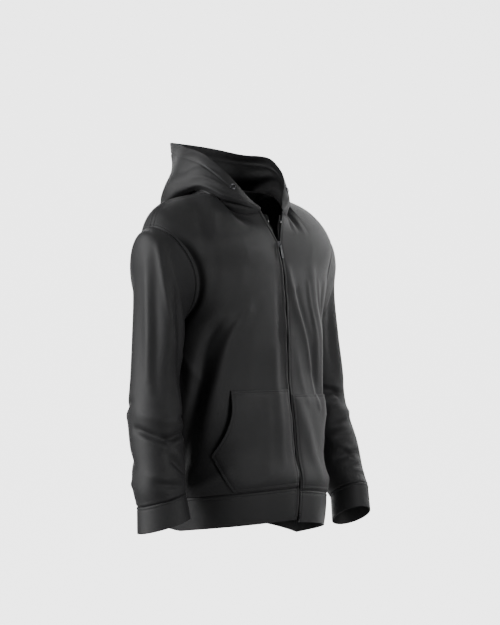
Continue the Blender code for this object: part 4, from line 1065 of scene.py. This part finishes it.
def cloth_pieces():
    """Every piece of cloth, as a grid with its normals and its outer surface."""
    fronts = {side: front_panel(side) for side in SIDES}
    back = back_panel()
    side_seam = slice(0, underarm_row() + 1)
    for side, edge in BACK_EDGE.items():
        met = (fronts[side][side_seam, -1] + back[side_seam, edge]) / 2
        fronts[side][side_seam, -1] = met
        back[side_seam, edge] = met
    band = hem_band(fronts["right"], back, fronts["left"])
    pieces = {"back": sheet(back, False, 1), "hem_band": sheet(band, False, 1)}
    for side, edge in BACK_EDGE.items():
        pieces["front_" + side] = sheet(fronts[side], False, -SIDES[side])
        arm = sleeve(side, armhole(fronts[side], back[:, edge]))
        pieces["sleeve_" + side] = sheet(arm, True, SIDES[side])
        pieces["cuff_" + side] = sheet(cuff(side, arm[-1]), True, SIDES[side])
    share_normals(pieces)
    hoods = {"hood_" + side: sheet(hood_half(side), False, -SIDES[side]) for side in SIDES}
    share_normals(hoods)
    pieces.update(hoods)
    relief = {"back": back_relief, "hem_band": band_relief}
    for side in SIDES:
        relief["front_" + side] = partial(front_relief, side)
        relief["sleeve_" + side] = sleeve_relief
        relief["cuff_" + side] = cuff_relief
        relief["hood_" + side] = hood_relief
    for name, piece in pieces.items():
        piece["outside"] = piece["grid"] + piece["normal"] * relief[name](piece["grid"])[:, :, None]
    for side in SIDES:
        pieces["pocket_" + side] = pocket(side, pieces["front_" + side])
        pieces["zip_tape_" + side] = tape(side, pieces["front_" + side], pieces["hem_band"])
    return pieces


def on_grid(grid, shares, heights, share, height):
    """Points between the points of a grid, on its facets."""
    column = np.clip(np.searchsorted(shares, share, side="right") - 1, 0, len(shares) - 2)
    row = np.clip(np.searchsorted(heights, height, side="right") - 1, 0, len(heights) - 2)
    s = ((share - shares[column]) / (shares[column + 1] - shares[column]))[..., None]
    h = ((height - heights[row]) / (heights[row + 1] - heights[row]))[..., None]
    lower = grid[row, column] * (1 - s) + grid[row, column + 1] * s
    upper = grid[row + 1, column] * (1 - s) + grid[row + 1, column + 1] * s
    return lower * (1 - h) + upper * h


def pocket(side, front):
    """Half of the pocket on the front panel, sewn down all round except at its hand opening."""
    low, corner = POCKET_EDGE["height"][:2]
    top = POCKET_TOP[side]
    lower = with_edges(np.linspace(low, corner, POCKET_ROWS_BELOW), 1, high=False)
    upper = with_edges(np.linspace(corner, top, POCKET_ROWS_ABOVE), 1, low=False)
    heights = np.concatenate([lower, upper[1:]])
    opening = loft(POCKET_EDGE["share"][1:], POCKET_EDGE["height"][1:], np.clip(heights, corner, None))
    sewn_edge = np.interp(heights, POCKET_EDGE["height"], POCKET_EDGE["share"])
    edge = np.where(heights < corner, sewn_edge, opening)
    out = with_edges(np.linspace(0, 1, POCKET_COLUMNS), POCKET_WIDTH)
    share = POCKET_INNER_SHARE + (edge[:, None] - POCKET_INNER_SHARE) * out[None, :]
    height = np.broadcast_to(heights[:, None], share.shape)
    base = on_grid(front["grid"], grid_shares(), grid_heights(), share, height)
    normal = unit(on_grid(front["normal"], grid_shares(), grid_heights(), share, height))
    unsewn, gapes = (
        ease((height - corner) / over_corner) * ease((top - height) / over_top)
        for over_corner, over_top in (MOUTH_UNSEWN, MOUTH_GAPES)
    )
    *sewn_edges, outer = [from_edge(base, axis, last) for axis in (0, 1) for last in (False, True)]
    sewn = np.minimum.reduce([*sewn_edges, outer + unsewn])
    off = POCKET_SEWN_OFF + (POCKET_STANDS_OFF - POCKET_SEWN_OFF) * ease(sewn / POCKET_RISES) + WALL
    off = off + POCKET_MOUTH_OPENS * gapes * out[None, :] ** MOUTH_CURVE
    for distance in (*sewn_edges, outer):
        off = off + relief_of(distance, POCKET_SEAM)
    grid = base + normal * off[:, :, None]
    return {"grid": grid, "wraps": False, "normal": normal, "outside": grid}


def tape(side, front, band):
    """Half of the zip's tape, behind the edge of the front and of the band. It shows where it is open."""

    def up_the_zip(kind, on_band, on_front):
        return np.concatenate([band[kind][:-1, on_band], front[kind][:-TAPE_STOPS, on_front]])

    sign = SIDES[side]
    column, beside = (0, TAPE_AIMS) if side == "right" else (-1, -1 - TAPE_AIMS)
    first, second = up_the_zip("grid", column, 0), up_the_zip("grid", beside, TAPE_AIMS)
    normal = up_the_zip("normal", column, 0)
    across = unit((second - first) * np.array([1, 1, 0]))
    opened = ease((first[:, 2] - ZIP_OPENS) / (TAPE_OPEN_HEIGHT - ZIP_OPENS))
    wave = 1 + TAPE_WAVE_SIDEWAYS * np.sin(first[:, 2] / TAPE_WAVE)
    reach = (ZIP_HALF_GAP - SEAM_GAP / 2 + TAPE_OPENS * opened * wave)[:, None]
    places = np.linspace(0, 1, TAPE_COLUMNS)[None, :]
    outside = first[:, None] + across[:, None] * ((TAPE_WIDTH + reach) * places - reach)[:, :, None]
    lean = (TAPE_WAVE_LEANS * np.sin(first[:, 2] / TAPE_WAVE + TAPE_WAVE_PHASE) * opened)[:, None]
    behind = WALL + TAPE_BEHIND - lean * (1 - places) ** 2
    outside = outside - normal[:, None] * behind[:, :, None]
    outside[:, :, 0] = sign * np.maximum(sign * outside[:, :, 0], SEAM_GAP / 2)
    normals = np.broadcast_to(normal[:, None], outside.shape).copy()
    return {"grid": outside, "wraps": False, "normal": normals, "outside": outside, "thick": TAPE_WALL}


# Stitches and teeth ----------------------------------------------------------------------------------------


def line_along(piece, axis, last, away, start=0.0, end=1.0):
    """A line that keeps a distance from an edge of a piece: rows of point and normal."""
    distance = from_edge(piece["grid"], axis, last)
    both = np.concatenate([piece["outside"], piece["normal"]], axis=2)
    lines = []
    count = distance.shape[1 - axis]
    for index in range(int(start * count), math.ceil(end * count)):
        along = np.take(distance, index, axis=1 - axis)
        rows = np.take(both, index, axis=1 - axis)
        if last:
            along, rows = along[::-1], rows[::-1]
        if along[-1] >= SHORTEST_ROW * away:
            lines.append(read_off(away, along, rows))
    if piece["wraps"] and axis == 0:
        lines.append(lines[0])
    return np.array(lines)


def spaced(line, pitch, start=0.5):
    """Points, directions and normals at even steps along a line."""
    along = along_line(line[:, :3])
    at = np.arange(start * pitch, along[-1], pitch)
    rows = read_off(at, along, line)
    ahead = read_off(at + AIM * pitch, along, line[:, :3])
    behind = read_off(at - AIM * pitch, along, line[:, :3])
    return rows[:, :3], unit(ahead - behind), rows[:, 3:]


def stitch_runs(pieces):
    """Every line of topstitching, as points, directions and normals."""
    back, band = pieces["back"], pieces["hem_band"]
    from_arm = underarm_row() / len(back["grid"]) + PAST_UNDERARM
    lines = []
    for side, last in (("right", False), ("left", True)):
        front = pieces["front_" + side]
        lines += [
            line_along(front, 1, False, STITCH_IN),
            line_along(front, 1, True, STITCH_IN, from_arm, ARM_STITCHES_END),
            line_along(front, 0, True, NECK_STITCH_IN, *FRONT_NECK_STITCHES),
            line_along(band, 1, last, STITCH_IN),
            line_along(pieces["cuff_" + side], 0, False, STITCH_IN),
            line_along(back, 1, last, STITCH_IN, from_arm, ARM_STITCHES_END),
            line_along(pieces["hood_" + side], 0, True, CHANNEL, CHANNEL_STITCHES_START),
        ]
        for axis, far in ((0, False), (0, True), (1, False), (1, True)):
            for away in POCKET_STITCHES_IN:
                lines.append(line_along(pieces["pocket_" + side], axis, far, away, *POCKET_STITCHES))
    lines.append(line_along(back, 0, True, NECK_STITCH_IN))
    lines.append(line_along(band, 0, True, STITCH_IN))
    runs = []
    for line in lines:
        point, along, out = spaced(line, STITCH_PITCH)
        runs.append((point + out * STITCH_OUT, along, out))
    return runs


def tooth_runs(pieces):
    """The coils of the zip, one on the edge of each half of the tape, half a pitch apart."""
    runs = []
    for number, (side, sign) in enumerate(SIDES.items()):
        half = pieces["zip_tape_" + side]
        edge = np.concatenate([half["outside"][:, 0], half["normal"][:, 0]], axis=1)
        point, along, out = spaced(edge, TOOTH_PITCH, TOOTH_START + number / 2)
        along = -sign * along
        runs.append((point + out * COIL_OUT + unit(np.cross(out, along)) * COIL_IN, along, out))
    return runs


def through_rings(name, rings):
    """A closed solid through rings that have the same number of points."""
    count = len(rings[0])
    points = [point for ring in rings for point in ring]
    faces = [tuple(range(count))[::-1], tuple(range(len(points) - count, len(points)))]
    for first in range(0, len(points) - count, count):
        for step in range(count):
            a, b = first + step, first + (step + 1) % count
            faces.append((a, b, b + count, a + count))
    return small_object(name, points, faces)


def stitch():
    """A low spindle along X with its top towards Z."""
    turns = [2 * math.pi * step / STITCH_SIDES for step in range(STITCH_SIDES)]
    rings = []
    for x, size in STITCH_PROFILE:
        wide, high = STITCH_WIDTH / 2 * size, STITCH_THICK / 2 * size
        rings.append([(x * STITCH_LENGTH, wide * math.cos(turn), high * math.sin(turn)) for turn in turns])
    return through_rings("stitch", rings)


def tooth():
    """One turn of the zip's coil: a flat loop whose head is at -Y, thickest there."""
    rings = []
    for z in (TOOTH_HALF_HEIGHT, -TOOTH_HALF_HEIGHT):
        rings.append([(x * TOOTH_UNIT, -y * TOOTH_UNIT, z * TOOTH_UNIT) for x, y in TOOTH_OUTLINE])
    return through_rings("coil_turn", rings)


def add_node(tree, kind, settings=None, sockets=None):
    """A node of a tree: its settings first, then the values or links of its sockets, by name or number."""
    made = tree.nodes.new(kind)
    for label, value in (settings or {}).items():
        setattr(made, label, value)
    for label, value in (sockets or {}).items():
        if isinstance(value, bpy.types.NodeSocket):
            tree.links.new(value, made.inputs[label])
        else:
            made.inputs[label].default_value = value
    return made


def scatter_group():
    """Copies of an object on the points of a mesh, turned by their directions along and out."""
    tree = bpy.data.node_groups.new("repeat_along", "GeometryNodeTree")
    tree.interface.new_socket("Geometry", in_out="OUTPUT", socket_type="NodeSocketGeometry")
    for label in ("Geometry", "Object", "Material"):
        tree.interface.new_socket(label, in_out="INPUT", socket_type="NodeSocket" + label)
    given = add_node(tree, "NodeGroupInput").outputs
    dots = add_node(tree, "GeometryNodeMeshToPoints", sockets={"Mesh": given["Geometry"]})
    copied = add_node(tree, "GeometryNodeObjectInfo", sockets={"Object": given["Object"]})
    vector = {"data_type": "FLOAT_VECTOR"}
    turn = {}
    for label, axis, pivot in (("along", "X", "AUTO"), ("out", "Z", "X")):
        read = add_node(tree, "GeometryNodeInputNamedAttribute", vector, {"Name": label})
        settings = {"axis": axis, "pivot_axis": pivot}
        sockets = {"Vector": read.outputs["Attribute"], **turn}
        align = add_node(tree, "FunctionNodeAlignRotationToVector", settings, sockets)
        turn = {"Rotation": align.outputs["Rotation"]}
    placed = {"Points": dots.outputs["Points"], "Instance": copied.outputs["Geometry"], **turn}
    place = add_node(tree, "GeometryNodeInstanceOnPoints", sockets=placed)
    real = add_node(tree, "GeometryNodeRealizeInstances", sockets={"Geometry": place.outputs["Instances"]})
    painted = {"Geometry": real.outputs["Geometry"], "Material": given["Material"]}
    paint = add_node(tree, "GeometryNodeSetMaterial", sockets=painted)
    add_node(tree, "NodeGroupOutput", sockets={"Geometry": paint.outputs["Geometry"]})
    return tree


def repeat(name, runs, copied, finish, tree):
    """Copies along the runs, each a set of points, directions and normals, as one plain mesh."""
    points, along, out = (np.concatenate(parts) for parts in zip(*runs))
    mesh = bpy.data.meshes.new(name + "_places")
    mesh.from_pydata(points.tolist(), [], [])
    for label, values in (("along", along), ("out", out)):
        layer = mesh.attributes.new(label, "FLOAT_VECTOR", "POINT")
        layer.data.foreach_set("vector", values.reshape(-1).astype(np.float32))
    carrier = linked(name + "_places", mesh)
    step = carrier.modifiers.new("repeat", "NODES")
    step.node_group = tree
    sockets = {item.name: item.identifier for item in tree.interface.items_tree if item.in_out == "INPUT"}
    step[sockets["Object"]] = copied
    step[sockets["Material"]] = finish
    bpy.context.view_layer.update()
    evaluated = carrier.evaluated_get(bpy.context.evaluated_depsgraph_get())
    plain = bpy.data.meshes.new_from_object(evaluated)
    bpy.data.objects.remove(carrier)
    bpy.data.objects.remove(copied)
    plain.shade_smooth()
    return linked(name, plain)


# Materials -------------------------------------------------------------------------------------------------


class Sum:
    """A number inside a material, so that its Math nodes are written as sums."""

    def __init__(self, tree, socket):
        self.tree, self.socket = tree, socket

    def math(self, operation, *parts):
        """A Math node on the parts, which are such numbers or plain ones."""
        sockets = {place: part.socket if isinstance(part, Sum) else part for place, part in enumerate(parts)}
        made = add_node(self.tree, "ShaderNodeMath", {"operation": operation}, sockets)
        return Sum(self.tree, made.outputs[0])

    def __add__(self, other):
        return self.math("ADD", self, other)

    def __mul__(self, other):
        return self.math("MULTIPLY", self, other)

    def __sub__(self, other):
        return self.math("SUBTRACT", self, other)

    def __rsub__(self, other):
        return self.math("SUBTRACT", other, self)

    def __truediv__(self, other):
        return self.math("DIVIDE", self, other)

    def __rtruediv__(self, other):
        return self.math("DIVIDE", other, self)

    __radd__ = __add__
    __rmul__ = __mul__

    def __abs__(self):
        return self.math("ABSOLUTE", self)

    def fraction(self):
        return self.math("FRACT", self)

    def wave(self):
        """The sine of so many whole turns."""
        return self.math("SINE", self * (2 * math.pi))

    def clamped(self):
        """Kept between 0 and 1."""
        return self.math("MINIMUM", self.math("MAXIMUM", self, 0), 1)


class Finish:
    """A material with a Principled shader, and short ways to add to it."""

    def __init__(self, name, roughness, **constants):
        self.made = bpy.data.materials.new(name)
        self.made.use_nodes = True
        self.tree = self.made.node_tree
        self.shader = self.tree.nodes["Principled BSDF"]
        for label, value in {"Roughness": roughness, **constants}.items():
            self.shader.inputs[label.replace("_", " ")].default_value = value

    def node(self, kind, settings=None, sockets=None):
        return add_node(self.tree, "ShaderNode" + kind, settings, sockets)

    def feed(self, label, socket):
        self.tree.links.new(socket, self.shader.inputs[label])

    def noise(self, scale, detail=2.0):
        sockets = {"Scale": scale, "Detail": detail, "Vector": self.node("TexCoord").outputs["Object"]}
        return Sum(self.tree, self.node("TexNoise", sockets=sockets).outputs["Fac"])

    def places(self):
        """The two coordinates of the cloth's own map, in metres."""
        cloth_map = self.node("UVMap", {"uv_map": "cloth"}).outputs["UV"]
        split = self.node("SeparateXYZ", sockets={0: cloth_map}).outputs
        return Sum(self.tree, split[0]), Sum(self.tree, split[1])

    def colour(self, dark, light, share):
        """From the dark colour to the light one by share."""
        sockets = {MIX_SHARE: share.clamped().socket, MIX_FIRST: (*dark, 1), MIX_SECOND: (*light, 1)}
        self.feed("Base Color", self.node("Mix", {"data_type": "RGBA"}, sockets).outputs[MIX_RESULT])

    def rough(self, value):
        self.feed("Roughness", value.clamped().socket)

    def bump(self, height, distance, strength):
        sockets = {"Height": height.socket, "Distance": distance, "Strength": strength}
        self.feed("Normal", self.node("Bump", sockets=sockets).outputs["Normal"])


def knit():
    """A smooth charcoal double knit: fine wales of V stitches, a little fuzz and uneven dye."""
    finish = Finish("charcoal_knit", 0.62, Sheen_Weight=0.03, Sheen_Roughness=0.4, Specular_IOR_Level=0.45)
    u, v = finish.places()
    from_wale = abs((u / KNIT_WALE).fraction() - 0.5)
    course = (v / KNIT_COURSE + from_wale * 0.9).wave()
    loops = course * 0.5 + 0.5 - from_wale * from_wale * 2.4
    fuzz = finish.noise(scale=2400, detail=3)
    patches = finish.noise(scale=9, detail=3)
    streaks = finish.noise(scale=42, detail=2)
    finish.bump(loops * 0.6 + fuzz * 0.5, distance=0.00022, strength=0.55)
    finish.colour(CLOTH_DARK, CLOTH_LIGHT, patches * 0.7 + streaks * 0.35 + loops * 0.12 - 0.1)
    finish.rough(patches * 0.10 + streaks * 0.06 + 0.54)
    return finish.made


def woven_tape():
    finish = Finish("zip_tape", 0.72, Sheen_Weight=0.1, Specular_IOR_Level=0.3)
    u, v = finish.places()
    weave = (u / WEAVE_ACROSS).wave() * (v / WEAVE_ALONG + u / (2 * WEAVE_ACROSS)).wave()
    finish.bump(weave * 0.5 + 0.5, distance=0.0002, strength=0.7)
    finish.colour(TAPE_DARK, TAPE_LIGHT, weave * 0.4 + finish.noise(scale=60) * 0.6)
    return finish.made


def thread():
    finish = Finish("thread", 0.6, Sheen_Weight=0.15)
    twist = finish.noise(scale=1900, detail=1)
    finish.colour(THREAD_DARK, THREAD_LIGHT, twist)
    finish.bump(twist, distance=0.0001, strength=0.6)
    return finish.made


def coil():
    finish = Finish("zip_coil", 0.38, Specular_IOR_Level=0.5)
    finish.colour(COIL_DARK, COIL_LIGHT, finish.noise(scale=300))
    finish.bump(finish.noise(scale=1500), distance=0.00005, strength=0.4)
    return finish.made


def plated_metal(name, light):
    """Plated metal, rubbed lighter in places, with a fine grain."""
    finish = Finish(name, 0.3, Metallic=1.0)
    rubbed = finish.noise(scale=240, detail=4)
    grain = finish.noise(scale=2200)
    finish.colour(tuple(part * UNRUBBED for part in light), light, rubbed * 1.3 - 0.15)
    finish.rough(rubbed * 0.22 + grain * 0.10 + 0.16)
    finish.bump(grain * 0.6 + rubbed * 0.4, distance=0.00008, strength=0.35)
    return finish.made


def plain_stage(name, glow):
    finish = Finish(name, 0.95, Specular_IOR_Level=0.1, Emission_Color=(1, 1, 1, 1), Emission_Strength=glow)
    lighter = tuple(part * STAGE_UNEVEN for part in STAGE_COLOUR)
    finish.colour(STAGE_COLOUR, lighter, finish.noise(scale=2))
    return finish.made


# Studio ----------------------------------------------------------------------------------------------------


def along_view(right, near, up):
    """A place in the room: to the camera's right, towards it and up from the middle of the picture."""
    return VIEW_CENTRE + VIEW_RIGHT * right + VIEW_NEAR * near + Vector((0, 0, up))


def aimed(made, place, target):
    """Puts a lamp or the camera at a place, turned towards the target."""
    made.location = place
    made.rotation_euler = (target - place).to_track_quat("-Z", "Y").to_euler()


def sweep():
    """A pale floor that curves up behind the garment. Only the part behind glows."""
    profile = [(SWEEP_FRONT, FLOOR)]
    for step in range(SWEEP_STEPS + 1):
        angle = math.pi / 2 * step / SWEEP_STEPS
        back = SWEEP_BACK + SWEEP_RADIUS * math.sin(angle)
        profile.append((-back, FLOOR + SWEEP_RADIUS * (1 - math.cos(angle))))
    profile.append((-SWEEP_BACK - SWEEP_RADIUS, SWEEP_TOP))
    points = []
    for near, height in profile:
        for right in (-SWEEP_HALF_WIDTH, SWEEP_HALF_WIDTH):
            place = VIEW_RIGHT * right + VIEW_NEAR * near
            points.append((place.x, place.y, height))
    faces = [(a, a + 1, a + 3, a + 2) for a in range(0, len(points) - 2, 2)]
    made = small_object("studio_sweep", points, faces)
    made.data.materials.append(plain_stage("studio", STAGE_GLOW))
    made.data.materials.append(plain_stage("studio_floor", 0))
    made.data.polygons[0].material_index = 1


def soft_light(name, place, size, power):
    lamp = bpy.data.lights.new(name, "AREA")
    lamp.shape = "RECTANGLE"
    lamp.size, lamp.size_y = size
    lamp.energy = power
    aimed(linked(name, lamp), along_view(*place), along_view(0, 0, LIGHTS_AIM_UP))


def build_studio():
    sweep()
    for light in LIGHTS:
        soft_light(*light)
    world = bpy.data.worlds.new("studio")
    world.use_nodes = True
    sky = world.node_tree.nodes["Background"]
    sky.inputs["Color"].default_value = (1, 1, 1, 1)
    sky.inputs["Strength"].default_value = SKY
    bpy.context.scene.world = world
    lens = bpy.data.cameras.new("camera")
    lens.sensor_width = SENSOR
    lens.lens = LENS
    camera = linked("camera", lens)
    aimed(camera, along_view(0, CAMERA_DISTANCE, 0), VIEW_CENTRE)
    bpy.context.scene.camera = camera


# The object ------------------------------------------------------------------------------------------------

# The flat size of each cut that shows, and its area, in metres
CUTS = {
    "front": ((0.30, 0.63), 0.158),
    "back": ((0.58, 0.64), 0.325),
    "sleeve": ((0.34, 0.56), 0.160),
    "cuff": ((0.29, 0.052), 0.0145),
    "hem_band": ((1.00, 0.065), 0.0650),
    "hood": ((0.36, 0.27), 0.064),
    "pocket": ((0.19, 0.21), 0.0325),
    "zip_tape": ((0.0150, 0.60), 0.0090),
}


def dress(made):
    """Puts a finished piece on the garment's body."""
    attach(made, "garment")


def sew(pieces, finishes):
    """The pieces of cloth, in place of the frame's plain ones. The flat size of each cut is read but not used.
    """
    for name, piece in pieces.items():
        slot = "tape" if name.startswith("zip_tape") else "cloth"
        made = wall(name + "_cloth", piece, finishes[slot])
        dress(made)
        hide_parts(name)
        flat, area = CUTS[name if name in CUTS else name.rsplit("_", 1)[0]]


def plate_metal():
    """The finishes of the frame's own metal nodes."""
    dark, bright = plated_metal("gunmetal", DARK_METAL), plated_metal("bright_metal", BRIGHT_METAL)
    dark_nodes = ("zip_slider", "zip_bottom_box", "eyelet_right", "eyelet_left")
    bright_nodes = ("zip_pull", "zip_top_stop_right", "zip_top_stop_left")
    for nodes, finish in ((dark_nodes, dark), (bright_nodes, bright)):
        for name in nodes:
            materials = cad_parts[name].data.materials
            materials.clear()
            materials.append(finish)


def main():
    finishes = {"cloth": knit(), "tape": woven_tape()}
    pieces = cloth_pieces()
    sew(pieces, finishes)
    tree = scatter_group()
    dress(repeat("topstitching", stitch_runs(pieces), stitch(), thread(), tree))
    dress(repeat("zip_teeth", tooth_runs(pieces), tooth(), coil(), tree))
    plate_metal()
    build_studio()


main()
